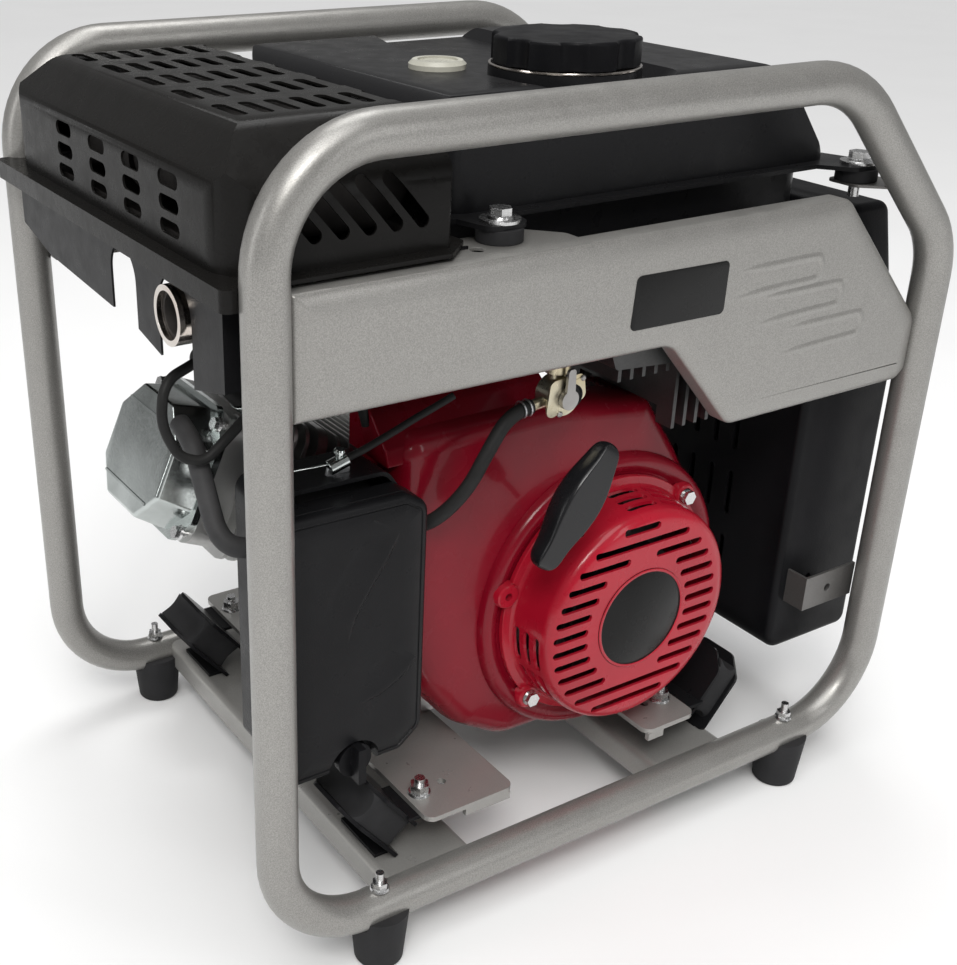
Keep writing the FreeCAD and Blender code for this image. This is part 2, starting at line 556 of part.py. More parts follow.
m8 = []
for x in MOUNT_X:
    for y in MOUNT_Y:
        n = hexbolt(x, y, PLATE_TOP, 13, 8, 4, 0, (0, 0, 1), flange=9.0)
        n = n.fuse(cyl(x, y, 36.0, 4.0, 24)).removeSplitter()
        m8.append(n)
for ex, ey in EARS:
    n = hexbolt(ex, ey, 471.0, 13, 6.5, 4, 26, (0, 0, 1), flange=8.5)
    n = n.fuse(cyl(ex, ey, 469.0, 13, 2.0)).removeSplitter()
    m8.append(n)
emit("m8_fasteners", m8)

# ----------------------------------------------------------------- engine --
cx, cz = CRANK_X, CRANK_Z
A = V(-math.cos(math.radians(CYL_TILT)), 0, math.sin(math.radians(CYL_TILT)))


def cyl_frame(s):
    """Local +Z along the cylinder axis, local X up, onto the crank centre."""
    s = s.copy()
    s.rotate(V(0, 0, 0), V(0, 1, 0), -(90 - CYL_TILT))
    s.translate(V(cx, CYL_Y, cz))
    return s


case = prism("xz", [(205, 64), (205, 215), (250, 262), (370, 262), (418, 215), (418, 90), (392, 64)], 122, 258, [14, 24, 30, 40, 40, 20, 14])
foot = box(170, 122, 47, 392, 258, 66)
case = case.fuse(foot)
case = fil(case, 5, lambda e: e.Length > 60 and abs(mid(e).y - 122) < 0.01 and mid(e).z > 80)
deck = cyl_frame(Part.makeCylinder(52, 78, V(0, 0, 60), V(0, 0, 1)))
case = case.fuse(deck)
cav = prism("xz", [(228, 76), (228, 225), (262, 248), (360, 248), (404, 205), (404, 95), (385, 76)], 130, 250, [10, 20, 20, 30, 30, 15, 10])
case = case.cut(cav).cut(cyl_frame(Part.makeCylinder(BORE_R + 4, 160, V(0, 0, 20), V(0, 0, 1))))
case = case.cut(cyl(cx, 250.1 - 160, cz, 15.04, 60, (0, 1, 0)))
case = case.cut(cav.copy().fuse(box(240, 249, 90, 395, 262, 220)))
case = case.fuse(cyl(cx, 112, cz, 26, 18, (0, 1, 0))).cut(cyl(cx, 100, cz, 15.04, 60, (0, 1, 0)))
CAM_X, CAM_Z = cx + 44.0, cz - 33.0
case = case.cut(cyl(CAM_X, 124, CAM_Z, 7.05, 10, (0, 1, 0)))
# drain boss and dipstick neck on the near side below the cylinder
case = case.fuse(cyl(192, 148, 92, 12, 30, (1, 0, 0)))
case = case.cut(cyl(180, 148, 92, 7.05, 60, (1, 0, 0)))
emit("crankcase", max(case.removeSplitter().Solids, key=lambda q: q.Volume))

cover = prism("xz", [(236, 74), (236, 226), (262, 254), (366, 254), (410, 212), (410, 92), (388, 74)], 258.0, 268, [12, 22, 26, 36, 36, 18, 12])
cover = cover.fuse(cyl(cx, 250.5, cz, 30, 24, (0, 1, 0))).fuse(cyl(CAM_X, 244, CAM_Z, 12, 16, (0, 1, 0)))
cover = cover.cut(cyl(cx, 240, cz, 15.04, 60, (0, 1, 0))).cut(cyl(CAM_X, 240, CAM_Z, 7.05, 14.5, (0, 1, 0)))
cover = cover.cut(case)
emit("crankcase_cover", max(cover.removeSplitter().Solids, key=lambda q: q.Volume))

dip = union(cyl(180.0, 148, 92, 14, 11.7, (1, 0, 0)), cyl(186, 148, 92, 7.0, 34, (1, 0, 0)), cyl(215, 148, 92, 2, 30, (1, 0, 0)))
for k in range(6):
    t = math.radians(60 * k)
    dip = dip.cut(cyl(178, 148 + 17 * math.cos(t), 92 + 17 * math.sin(t), 5, 9, (1, 0, 0)))
emit("oil_dipstick", max(dip.Solids, key=lambda q: q.Volume))

fins = [Part.makeCylinder(BORE_R + 9, 100, V(0, 0, 138), V(0, 0, 1))]
for k in range(9):
    z = 142 + k * 10.5
    fins.append(prism("xy", [(-52, -56), (52, -56), (52, 56), (-52, 56)], z, z + 3, 12))
barrel = fins[0].fuse(fins[1:])
barrel = barrel.cut(Part.makeCylinder(BORE_R, 130, V(0, 0, 130), V(0, 0, 1)))
emit("cylinder", cyl_frame(barrel))

head = [prism("xy", [(-54, -56), (54, -56), (54, 56), (-54, 56)], 238, 246, 14),
        prism("xy", [(-40, -44), (40, -44), (40, 44), (-40, 44)], 244, 300, 12)]
for k in range(4):
    z = 254 + k * 10
    head.append(prism("xy", [(-54, -56), (54, -56), (54, 56), (-54, 56)], z, z + 3, 14))
head.append(prism("xy", [(-48, -54), (48, -54), (48, 54), (-48, 54)], 296, 316, 16))
head = head[0].fuse(head[1:])
head = head.cut(Part.makeCylinder(30, 6, V(0, 0, 237), V(0, 0, 1)))
plug_hole = Part.makeCylinder(7.05, 90, V(72, -18, 252), V(-0.92, 0.1, -0.35))
head = head.cut(prism("xy", [(-38, -44), (38, -44), (38, 44), (-38, 44)], 302, 320, 10))
# inlet boss towards the near side, outlet boss upwards
head = head.fuse(Part.makeCylinder(16, 22, V(-10, -44, 272), V(0, -1, 0)))
head = head.fuse(Part.makeCylinder(17, 24, V(40, 22, 270), V(1, 0, 0)))
head = head.cut(Part.makeCylinder(11, 30, V(-10, -40, 272), V(0, -1, 0))).cut(Part.makeCylinder(12, 34, V(34, 22, 270), V(1, 0, 0)))
head = head.cut(Part.makeCylinder(7.0, 40, V(68, -26, 268), V(-1, 0, 0)))
emit("cylinder_head", cyl_frame(max(head.removeSplitter().Solids, key=lambda q: q.Volume)))

oc = [(-46, -26), (-46, 26), (-22, 50), (22, 50), (46, 26), (46, -26), (22, -50), (-22, -50)]
vc = prism("xy", [(-50, -34), (-50, 34), (-30, 54), (30, 54), (50, 34), (50, -34), (30, -54), (-30, -54)], 316, 321, 6)
dome = Part.makeLoft([rwire([(p[0], p[1], 320) for p in oc], 5), rwire([(p[0] * 0.9, p[1] * 0.9, 348) for p in oc], 5)], True)
vc = vc.fuse(dome)
vc = fil(vc, 3, lambda e: abs(mid(e).z - 348) < 0.01)
inner_vc = Part.makeLoft([rwire([(p[0] * 0.93, p[1] * 0.93, 315) for p in oc], 4), rwire([(p[0] * 0.84, p[1] * 0.84, 345) for p in oc], 4)], True)
vc = vc.cut(inner_vc)
for xx in (-28, 28):
    vc = vc.fuse(box(xx - 0.8, -34, 347.5, xx + 0.8, 34, 348.8))
emit("valve_cover", cyl_frame(max(vc.removeSplitter().Solids, key=lambda q: q.Volume)))

PL_D = V(0.40, -0.25, 0.88)
PL_D.normalize()


def on_plug(t):
    return V(40, -30, 262) + PL_D * t


sp = union(Part.makeCylinder(6.9, 26, on_plug(-4), PL_D), Part.makeCylinder(9.5, 12, on_plug(44), PL_D),
           Part.makeCylinder(6.9, 24, on_plug(22), PL_D), Part.makeCylinder(5, 36, on_plug(50), PL_D))
emit("spark_plug", cyl_frame(sp))
plug_tool = cyl_frame(Part.makeCylinder(7.0, 50, on_plug(-5), PL_D).fuse(Part.makeCylinder(13.0, 60, on_plug(43.5), PL_D)))
OUT["cylinder_head"] = OUT["cylinder_head"].cut(plug_tool)
OUT["cylinder_head"] = max(OUT["cylinder_head"].Solids, key=lambda q: q.Volume)
boot = union(Part.makeCylinder(8.5, 50, on_plug(58), PL_D), Part.makeSphere(8.5, on_plug(108)))
boot = cyl_frame(boot)
plug_top = cyl_frame(Part.makeSphere(1.0, on_plug(108))).CenterOfMass
lead_pts = [tuple(plug_top), (-10, 120, 371), (-15, 116, 344), (-7, 109, 323), (8, 104, 318), (25, 104, 331), (46, 103, 350), (84, 102, 353), (118, 97, 348),
            (124, 95, 322.3)]
lead = hose(lead_pts, 3.5, "ignition_lead")
lead = union(boot, lead).cut(cyl_frame(sp))
emit("ignition_lead", max(lead.Solids, key=lambda q: q.Volume))

# Piston and rod at top dead centre
pist = Part.makeCylinder(BORE_R - 0.05, 52, V(0, 0, 185.5), V(0, 0, 1)).cut(Part.makeCylinder(29, 44, V(0, 0, 180), V(0, 0, 1)))
pist = pist.fuse(Part.makeCylinder(8, 66, V(0, -33, 208), V(0, 1, 0)))
pist = pist.common(Part.makeCylinder(BORE_R - 0.05, 200, V(0, 0, 100), V(0, 0, 1)))
pist = max(pist.removeSplitter().Solids, key=lambda q: q.Volume)
emit("piston", cyl_frame(pist))
rod = union(Part.makeCylinder(14, 18, V(0, -9, 208), V(0, 1, 0)), box(-7, -5, CRANK_THROW + 12, 7, 5, 198),
            Part.makeCylinder(20, 18, V(0, -9, CRANK_THROW), V(0, 1, 0)))
rod = rod.cut(Part.makeCylinder(8.05, 40, V(0, -20, 208), V(0, 1, 0))).cut(Part.makeCylinder(12.3, 40, V(0, -20, CRANK_THROW), V(0, 1, 0)))
pin = Part.makeCylinder(12.25, 23.4, V(0, -11.7, CRANK_THROW), V(0, 1, 0))
emit("connecting_rod", [cyl_frame(max(rod.Solids, key=lambda q: q.Volume)), cyl_frame(pin)])

# Built-up crankshaft: two halves, each a journal and a web; the pin between
# the webs is its own piece and stays with the rod
J = 15.0
crank = [cyl(cx, 66, cz, 10, 52, (0, 1, 0)), cyl(cx, 112, cz, J, 60, (0, 1, 0)), cyl(cx, 210, cz, J, 82, (0, 1, 0)), cyl(cx, 292, cz, 12, 36, (0, 1, 0))]
web = prism("xy", [(-48, -8), (-48, 0), (42, 0), (42, -8)], 0, 1, 0)


def crank_web(y0, y1):
    w = Part.makeCylinder(46, y1 - y0, V(0, y0 - CYL_Y, 0), V(0, 1, 0))
    w = w.common(box(-46, y0 - CYL_Y, -50, 46, y1 - CYL_Y, 6).fuse(box(-19, y0 - CYL_Y, -10, 19, y1 - CYL_Y, 44)))
    return cyl_frame(w)


crank.append(crank_web(166, 178))
crank.append(crank_web(202, 214))
crank.append(cyl(cx, 222, cz, 18.2, 10, (0, 1, 0)))
cs = crank[0].fuse(crank[1:]).removeSplitter()
emit("crankshaft", sorted(cs.Solids, key=lambda q: q.BoundBox.YMin))

# Camshaft below the crank, its gear twice the crank gear
cam = union(cyl(CAM_X, 125, CAM_Z, 7, 128, (0, 1, 0)), cyl(CAM_X, 222.5, CAM_Z, 36.3, 9, (0, 1, 0)),
            cyl(CAM_X + 2, 181, CAM_Z - 2, 11.5, 8.5, (0, 1, 0)), cyl(CAM_X - 2, 190.5, CAM_Z + 2, 11.5, 8.5, (0, 1, 0)))
emit("camshaft", cam)

# Flywheel with cast fan vanes and the starter cup on its hub
fw_pts = [(10, 82), (24, 82), (24, 84), (31.5, 84), (31.5, 66), (34, 66), (34, 84), (86, 84), (86, 104), (74, 104), (74, 94), (24, 94), (24, 110), (10, 110)]
fw = Part.Face(Part.makePolygon([V(cx + r_, y_, cz) for r_, y_ in fw_pts + fw_pts[:1]])).revolve(V(cx, 0, cz), V(0, 1, 0), 360)
vanes = []
for k in range(16):
    v = box(37, 75, -1.4, 83, 86, 1.4)
    v.rotate(V(0, 0, 0), V(0, 1, 0), 22.5 * k + 5)
    v.translate(V(cx, 0, cz))
    vanes.append(v)
fw = fw.fuse(vanes)
emit("flywheel", max(fw.removeSplitter().Solids, key=lambda q: q.Volume))

# Blower housing: round over the flywheel, a duct running over the cylinder
def bh(o):
    pts = [(cx - 22 + o, 40 + o), (cx + 62 - o, 62 + o), (cx + SHROUD_R - o, 128), (cx + SHROUD_R - o, 190), (cx + 76 - o, 256), (356 - o, 307 - o),
           (270, 322 - o), (108 + o, 322 - o), (108 + o, 314 + o * 0.2), (147 + o, 312), (147 + o, 160), (166 + o, 108 + o), (192 + o, 66 + o), (232 + o, 42 + o)]
    return pts


BH_R = [50, 40, 40, 40, 30, 16, 30, 3, 2, 1.5, 30, 30, 40, 40]
red = prism("xz", bh(0), 64, 112, BH_R)
red = fil(red, 12, lambda e: abs(mid(e).y - 64) < 0.01 and mid(e).x > 150 and mid(e).z < 300)
red_in = prism("xz", bh(2.0), 66, 120, [48, 38, 38, 38, 28, 14, 28, 1.5, 1, 1, 28, 28, 38, 38])
red_in = fil(red_in, 10, lambda e: abs(mid(e).y - 66) < 0.01 and mid(e).x > 152 and mid(e).z < 298)
red = red.cut(red_in).cut(cyl(cx, 50, cz, 90, 30, (0, 1, 0)))
red = red.fuse(cyl(cx, 58, cz, 104, 8, (0, 1, 0)).cut(cyl(cx, 50, cz, 90, 30, (0, 1, 0))))
emit("blower_housing", max(red.removeSplitter().Solids, key=lambda q: q.Volume))

# Recoil cover: dished cup with a slotted face
RB = []
for a in (-136, -46, 44):
    t = math.radians(a)
    RB.append((cx + 98 * math.cos(t), cz + 98 * math.sin(t)))
rc = cyl(cx, RECOIL_Y, cz, RECOIL_R + 5, 44.5, (0, 1, 0))
rc = fil(rc, 9, lambda e: abs(mid(e).y - RECOIL_Y) < 0.01)
rc = rc.fuse(cyl(cx, 52, cz, 98, 5.5, (0, 1, 0)))
for bx, bz in RB:
    rc = rc.fuse(cyl(bx, 50, bz, 11, 7.5, (0, 1, 0)))
rci = cyl(cx, RECOIL_Y + 2.5, cz, RECOIL_R + 2.5, 60, (0, 1, 0))
rci = fil(rci, 7, lambda e: abs(mid(e).y - RECOIL_Y - 2.5) < 0.01)
rc = rc.cut(rci)
rc = rc.fuse(cyl(cx, RECOIL_Y + 1, cz, 6.0, 34, (0, 1, 0)))
sl = []
for k in range(13):
    z = -66 + 11 * k
    half = math.sqrt(max(0, 74.0 ** 2 - z * z))
    inner_h = math.sqrt(max(0, 44.0 ** 2 - z * z)) if abs(z) < 44 else 0
    if inner_h > 4:
        for sgn in (-1, 1):
            a, b = inner_h + 2, half
            if b - a > 12:
                sl.append(slot("xz", (cx + sgn * (a + b) / 2, RECOIL_Y, cz + z), b - a, 5.2, 14))
    else:
        sl.append(slot("xz", (cx, RECOIL_Y, cz + z), 2 * half - 6, 5.2, 14))
for a0 in (150, 195, 240, 300, 20, 60):
    for da in (-14, 0, 14):
        s = box(RECOIL_R - 6, 30, -3.0, RECOIL_R + 12, 46, 3.0)
        s.rotate(V(0, 0, 0), V(0, 1, 0), -(a0 + da))
        s.translate(V(cx, 0, cz))
        sl.append(s)
rc = rc.cut(sl)
for bx, bz in RB:
    rc = rc.cut(cyl(bx, 40, bz, 3.3, 30, (0, 1, 0)))
# rope guide at the upper left shoulder
HP = V(228.0, 0.0, 277.0)
hd = V(-0.34, -0.84, 0.42)
hd.normalize()
gx, gz = 262.0, 233.0
rc = rc.fuse(cyl(gx, 30, gz, 10, 20, (0, 1, 0)).cut(cyl(gx, 20, gz, 4, 40, (0, 1, 0))))
emit("recoil_cover", max(rc.removeSplitter().Solids, key=lambda q: q.Volume))

pul = cyl(cx, 30, cz, 52, 12, (0, 1, 0))
pul = pul.cut(cyl(cx, 33, cz, 60, 6, (0, 1, 0)).cut(cyl(cx, 33, cz, 44, 6, (0, 1, 0)))).cut(cyl(cx, 20, cz, 6.05, 40, (0, 1, 0)))
emit("recoil_pulley", pul)

# T-handle: crossbar square to the pull, stem into the rope guide
u = V(51, 0, 75)
u.normalize()
hc = V(232.0, 2.0, 274.0)
bar = Part.makeCylinder(10.0, 90, hc - u * 45, u)
bar = fil(bar, 6, lambda e: True)
stem_dir = V(gx, 26, gz) - hc
L = stem_dir.Length
stem = Part.makeCone(9.0, 6.0, L * 0.6, hc, stem_dir)
rope = Part.makeCylinder(2.0, L * 0.97, hc, stem_dir)
hnd = union(bar, stem, rope)
emit("starter_handle", hnd)

# ------------------------------------------------------------ air cleaner --
ax0, ax1, az0, az1 = 24.0, 132.0, 101.0, 302.0
cov = prism("xz", [(ax0, az0), (114, az0), (ax1, 116), (ax1, 290), (116, az1 - 2), (ax0, az1)], 27, 52, [8, 10, 14, 12, 10, 8])
cov = fil(cov, 5, lambda e: abs(mid(e).y - 27) < 0.01)
covi = prism("xz", [(ax0 + 2.5, az0 + 2.5), (113, az0 + 2.5), (ax1 - 2.5, 117), (ax1 - 2.5, 289), (115, az1 - 4.5), (ax0 + 2.5, az1 - 2.5)], 29.5, 60, [6, 8, 12, 10, 8, 6])
cov = cov.cut(covi)
KX, KZ = 76.0, 104.0
cov = cov.cut(cyl(KX, 20, KZ, 19, 20, (0, 1, 0)))
cov = cov.fuse(cyl(KX, 38, KZ, 21, 3, (0, 1, 0)).common(box(0, 0, az0 + 1, 300, 300, 300))).cut(cyl(KX, 20, KZ + 4, 4.2, 50, (0, 1, 0)))
emit("air_cleaner_cover", max(cov.removeSplitter().Solids, key=lambda q: q.Volume))
bas = prism("xz", [(ax0 + 1, az0 + 4), (113, az0 + 4), (ax1 - 4, 120), (ax1 - 4, 288), (114, az1 + 6), (ax0 + 1, az1 + 8)], 52.4, 96, [10, 10, 14, 14, 12, 12])
basi = prism("xz", [(ax0 + 4, az0 + 7), (112, az0 + 7), (ax1 - 7, 121), (ax1 - 7, 287), (113, az1 + 3), (ax0 + 4, az1 + 5)], 50, 93, [8, 8, 12, 12, 10, 10])
bas = bas.cut(basi).cut(cyl(64, 80, 257, 11, 30, (0, 1, 0)))
bas = bas.fuse(cyl(KX, 41.5, KZ + 14, 6, 54, (0, 1, 0)))
bas = bas.cut(cyl(KX, 41, KZ + 14, 3.0, 40, (0, 1, 0)))
emit("air_cleaner_base", max(bas.removeSplitter().Solids, key=lambda q: q.Volume))
fe = prism("xz", [(ax0 + 8, az0 + 34), (ax1 - 10, az0 + 34), (ax1 - 10, az1 - 14), (ax0 + 8, az1 - 14)], 54, 86, 10)
fe = fe.cut(cyl(64, 50, 257, 12, 60, (0, 1, 0)))
emit("air_filter", fe)
kn = union(cyl(KX, 27.5, KZ + 4, 13, 7, (0, 1, 0)), box(KX - 3, 18, KZ - 10, KX + 3, 30, KZ + 18), cyl(KX, 27, KZ + 4, 4.12, 14.2, (0, 1, 0)))
emit("air_cleaner_knob", kn)

# Carburettor between the air cleaner and the head
inlet = cyl_frame(Part.makeCylinder(1, 1, V(-10, -66, 272), V(0, -1, 0))).CenterOfMass
carb = union(cyl(64, 96.1, 257, 15, 27.6, (0, 1, 0)), box(48, 98, 236, 88, 122, 276), cyl(68, 115, 206, 16, 31), cyl(86, 110, 245, 4, 10, (1, 0, 0)))
carb = carb.cut(cyl(64, 90, 257, 10, 60, (0, 1, 0)))
carb = carb.cut(cyl(53, 104, 266, 2.55, 60)).cut(cyl(82, 116, 256, 2.55, 60))
emit("carburettor", max(carb.removeSplitter().Solids, key=lambda q: q.Volume))
ch = union(cyl(53, 104, 268, 2.5, 16), box(46, 100.5, 282, 57, 107.5, 284), box(38, 102, 282, 47, 106, 284))
emit("choke_lever", ch)
th = union(cyl(82, 116, 258, 2.5, 22), box(79, 112, 278, 99, 120, 280))
emit("throttle_lever", th)

# --------------------------------------------------------------- alternator
st = cyl(cx, 282, cz, 80, 26, (0, 1, 0)).cut(cyl(cx, 270, cz, 40, 60, (0, 1, 0)))
gaps = []
for k in range(12):
    g = box(50, 280, -5, 84, 310, 5)
    g.rotate(V(0, 0, 0), V(0, 1, 0), 30 * k)
    g.translate(V(cx, 0, cz))
    gaps.append(g)
st = st.cut(gaps).fuse(cyl(cx, 268.2, cz, 46, 16, (0, 1, 0)).cut(cyl(cx, 260, cz, 31.5, 60, (0, 1, 0))))
emit("alternator_stator", max(st.removeSplitter().Solids, key=lambda q: q.Volume))
ro = cyl(cx, 278, cz, 92, 38, (0, 1, 0)).cut(cyl(cx, 270, cz, 80.8, 42, (0, 1, 0)))
ro = ro.fuse(cyl(cx, 312, cz, 30, 8, (0, 1, 0))).fuse(cyl(cx, 300, cz, 22, 16, (0, 1, 0))).cut(cyl(cx, 260, cz, 12, 90, (0, 1, 0)))
emit("alternator_rotor", max(ro.removeSplitter().Solids, key=lambda q: q.Volume))
ac = prism("xz", [(cx - 112, 62), (cx + 104, 62), (cx + 104, 222), (cx + 62, 264), (cx - 70, 264), (cx - 112, 222)], 268.4, 338, [30, 30, 36, 36, 36, 36])
ac = fil(ac, 12, lambda e: abs(mid(e).y - 338) < 0.01)
aci = cyl(cx, 268, cz, 98, 67, (0, 1, 0))
ac = ac.cut(aci)
ac = ac.cut(cover)
grille = []
for k in range(24):
    g = box(40, 330, -2.4, 84, 345, 2.4)
    g.rotate(V(0, 0, 0), V(0, 1, 0), 15 * k)
    g.translate(V(cx, 0, cz))
    grille.append(g)
ac = ac.cut(grille)
emit("alternator_cover", max(ac.removeSplitter().Solids, key=lambda q: q.Volume))

# ----------------------------------------------------------- inverter, box
inv = [box(276, 60, 352, 430, 300, 392)]
inv.append(prism("xz", [(268, 376), (276, 392), (430, 392), (430, 330), (400, 318), (380, 318), (330, 352), (276, 356)], 22, 60, [4, 4, 4, 4, 4, 4, 8, 4]))
for k in range(14):
    x = 280 + 11 * k
    z = 328 if x < 330 else (300 if x < 400 else 312)
    inv.append(box(x, 24, z + (18 if x < 330 else 0), x + 3, 300, 360))
inv = inv[0].fuse(inv[1:])
inv = inv.cut(cyl(cx, 0, cz, SHROUD_R + 25, 400, (0, 1, 0))).cut(prism("xz", bh(-2.0), 40, 125, BH_R))
emit("inverter_module", max(inv.removeSplitter().Solids, key=lambda q: q.Volume))

B = BOX


def cbox(o):
    xz = [(B["x0"] + o, B["z0"] + o), (B["x1"] - o, B["z0"] + o), (B["x1"] - o, 300), (548 - o, B["z1"] - o), (510 + o, B["z1"] - o), (B["x0"] + o, 400)]
    return prism("xz", xz, B["y0"] + o, B["y1"] - o, [16 - o, 10 - o, 12, 12 - o, 14 - o, 14])


cb = cbox(0)
cb = fil(cb, 6, lambda e: abs(mid(e).y - B["y0"]) < 0.01 or abs(mid(e).y - B["y1"]) < 0.01)
cb = cb.cut(cbox(B["t"]))
# front of the box is open for the panel plate
cb = cb.cut(prism("xz", [(B["x1"] - 6, B["z0"] + 12), (B["x1"] + 10, B["z0"] + 12), (B["x1"] + 10, 420), (548, 440), (534, 424), (B["x1"] - 6, 296)], B["y0"] + 12, B["y1"] - 12, 0))
vents = []
for k in range(9):
    for j in range(3):
        vents.append(slot("yz", (B["x0"], 100 + 22 * k, 120 + 60 * j), 40, 6, 20, 90))
cb = cb.cut(vents)
cb = cb.cut(tube_n).cut(tube_f).cut(box(480, -20, 0, 620, 14.6, 500)).cut(tube_n)
for y in (20, HOOP_W - 60):
    cb = cb.cut(cyl(527, y, 119, 3.2, 40, (0, 1, 0)))
emit("control_box", max(cb.removeSplitter().Solids, key=lambda q: q.Volume))
pn = prism("xz", [(B["x1"] - 5.7, B["z0"] + 12.3), (B["x1"] - 2.7, B["z0"] + 12.3), (B["x1"] - 2.7, 297.5), (B["x1"] - 34, 392), (B["x1"] - 37, 391), (B["x1"] - 5.7, 296.5)],
           B["y0"] + 12.3, B["y1"] - 12.3, 0)
# round socket seats, knob and switch bores
SOCK = ((96.0, 120.0), (96.0, 192.0))
PX = B["x1"] - 2.7
OUTL = ((110.0, 270.0),)
KNOB = (262.0, 120.0)
for z, y in SOCK:
    pn = pn.cut(cyl(PX - 10, y, z, 17, 20, (1, 0, 0)))
for z, y in OUTL:
    pn = pn.cut(cyl(PX - 10, y, z, 21, 20, (1, 0, 0)))
pn = pn.cut(cyl(PX - 10, KNOB[1], KNOB[0], 4.06, 20, (1, 0, 0)))
SWY, SWZ = 270.0, 262.0
pn = pn.cut(box(PX - 10, SWY - 8.3, SWZ - 13.3, PX + 10, SWY + 8.3, SWZ + 13.3))
BRK = ((196.0, 270.0),)
for z, y in BRK:
    pn = pn.cut(cyl(PX - 10, y, z, 5.06, 20, (1, 0, 0)))
disp = box(PX - 0.3, 165, 236, PX + 1.5, 222, 276)
emit("control_panel", pn.fuse(disp).removeSplitter())
wk, ol = [], []
for z, y in SOCK:
    s = union(cyl(PX - 20, y, z, 16.9, 26, (1, 0, 0)), cyl(PX, y, z, 21, 3, (1, 0, 0)))
    s = s.cut(cyl(PX - 12, y, z, 7.0, 40, (1, 0, 0)))
    wk.append(s)
emit("weld_sockets", wk)
for z, y in OUTL:
    s = union(cyl(PX - 24, y, z, 20.9, 24, (1, 0, 0)), box(PX, y - 25, z - 25, PX + 4, y + 25, z + 25))
    s = s.cut(cyl(PX - 14, y, z, 17.5, 40, (1, 0, 0)))
    ol.append(s)
emit("ac_outlet", ol)
lids = []
for z, y in OUTL:
    l = prism("yz", [(y - 24, z - 24), (y + 24, z - 24), (y + 24, z + 25), (y - 24, z + 25)], PX + 4.4, PX + 8.0, [4, 4, 0, 0])
    lids.append(l)
barrel = cyl(PX + 6.2, OUTL[0][1] - 24, OUTL[0][0] + 24.9, 1.8, 48, (0, 1, 0))
emit("outlet_lid", lids[0].fuse(barrel).removeSplitter())
k = union(cyl(PX + 0.4, KNOB[1], KNOB[0], 17, 14, (1, 0, 0)), cyl(PX - 16, KNOB[1], KNOB[0], 4.0, 20, (1, 0, 0)))
k = k.cut(box(PX + 10, KNOB[1] - 0.8, KNOB[0] + 6, PX + 20, KNOB[1] + 0.8, KNOB[0] + 20))
k = fil(k, 1.5, lambda e: abs(mid(e).x - (PX + 14.4)) < 0.01 and e.Length > 30)
emit("current_knob", k)
sw = prism("xz", [(PX - 7, SWZ - 12.5), (PX + 1.0, SWZ - 12.7), (PX + 2.4, SWZ), (PX + 4.6, SWZ + 12.5), (PX - 7, SWZ + 12.5)], SWY - 8, SWY + 8, 0)
sw = sw.common(cyl(PX - 4, SWY - 20, SWZ, 15.6, 40, (0, 1, 0)))
sw = sw.cut(cyl(PX - 4, SWY - 20, SWZ, 1.5, 40, (0, 1, 0)))
emit("engine_switch", sw)
bb = []
for z, y in BRK:
    bb.append(union(cyl(PX - 12, y, z, 5.0, 18, (1, 0, 0)), cyl(PX + 6, y, z, 4.2, 1, (1, 0, 0))))
emit("breaker_button", bb[0])

# ------------------------------------------------------------- hoses, lead
brth = hose([(9, 142, 331), (9, 122, 326), (8, 106, 301), (4.5, 75.5, 267), (24.4, 74.5, 266)], 7.0, "breather_hose")
emit("breather_hose", brth)
fh = hose([(217.8, 38.0, 336.7), (200, 38.0, 334.9), (182, 36, 312), (168, 38, 286), (149, 47, 264), (140.5, 66, 253), (140, 87, 247), (127, 107, 245), (96.5, 110, 245)],
          5.0, "fuel_hose")
emit("fuel_hose", fh)

# engine bolts: recoil flange, valve cover corners, cover of the crankcase
eb = []
for bx, bz in RB:
    eb.append(hexbolt(bx, 49.8, bz, 10, 5, 3, 24, (0, -1, 0), flange=6.5))
for px_, py_ in ((-40, -44), (-40, 44), (40, 44), (40, -44)):
    b = hexbolt(px_, py_, 321.0, 8, 5, 3, 14, (0, 0, 1), flange=5.5)
    eb.append(cyl_frame(b))
for gy in (28.0, HOOP_W - 28.0):
    eb.append(hexbolt(130.0, gy, 462.1, 10, 5, 3, 12, (0, 0, 1), flange=7.0))
emit("m6_fasteners", fb + eb)

# ------------------------------------------------- seats for fasteners etc.
def trim(name, *tools):
    q = OUT[name]
    for t in tools:
        q = q.cut(OUT[t] if isinstance(t, str) else t)
    sol = [z for z in q.Solids if z.Volume > 30.0]
    OUT[name] = Part.makeCompound(sol) if len(sol) > 1 else sol[0]


for n_ in ("frame_hoop_near", "frame_hoop_far", "rubber_feet", "cylinder_head", "valve_cover", "blower_housing", "recoil_cover",
           "side_panel_near", "side_panel_far", "muffler_guard", "muffler_shroud"):
    trim(n_, "m6_fasteners")
trim("rubber_feet", "cross_members")
trim("muffler_shroud", "side_panel_near", "side_panel_far")

# ------------------------------------------------------------------ export
names = sorted(OUT)
lo = [1e9] * 3
hi = [-1e9] * 3
for n in names:
    s = OUT[n].copy()
    s.translate(SHIFT)
    b = s.BoundBox
    for i, (a, c) in enumerate(((b.XMin, b.XMax), (b.YMin, b.YMax), (b.ZMin, b.ZMax))):
        lo[i] = min(lo[i], a)
        hi[i] = max(hi[i], c)
    if not s.isValid() or s.Volume <= 0:
        print("CHECK", n, "valid", s.isValid(), "volume", round(s.Volume, 1), "solids", len(s.Solids))
    s.exportStep("parts/%s.step" % n)
print("nodes", len(names))
print("box", [round(v, 2) for v in lo], [round(v, 2) for v in hi])
print("centre", [round((a + b) / 2, 2) for a, b in zip(lo, hi)])
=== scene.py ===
import bpy
import bmesh
import json
import math
import random
from mathutils import Vector, Matrix


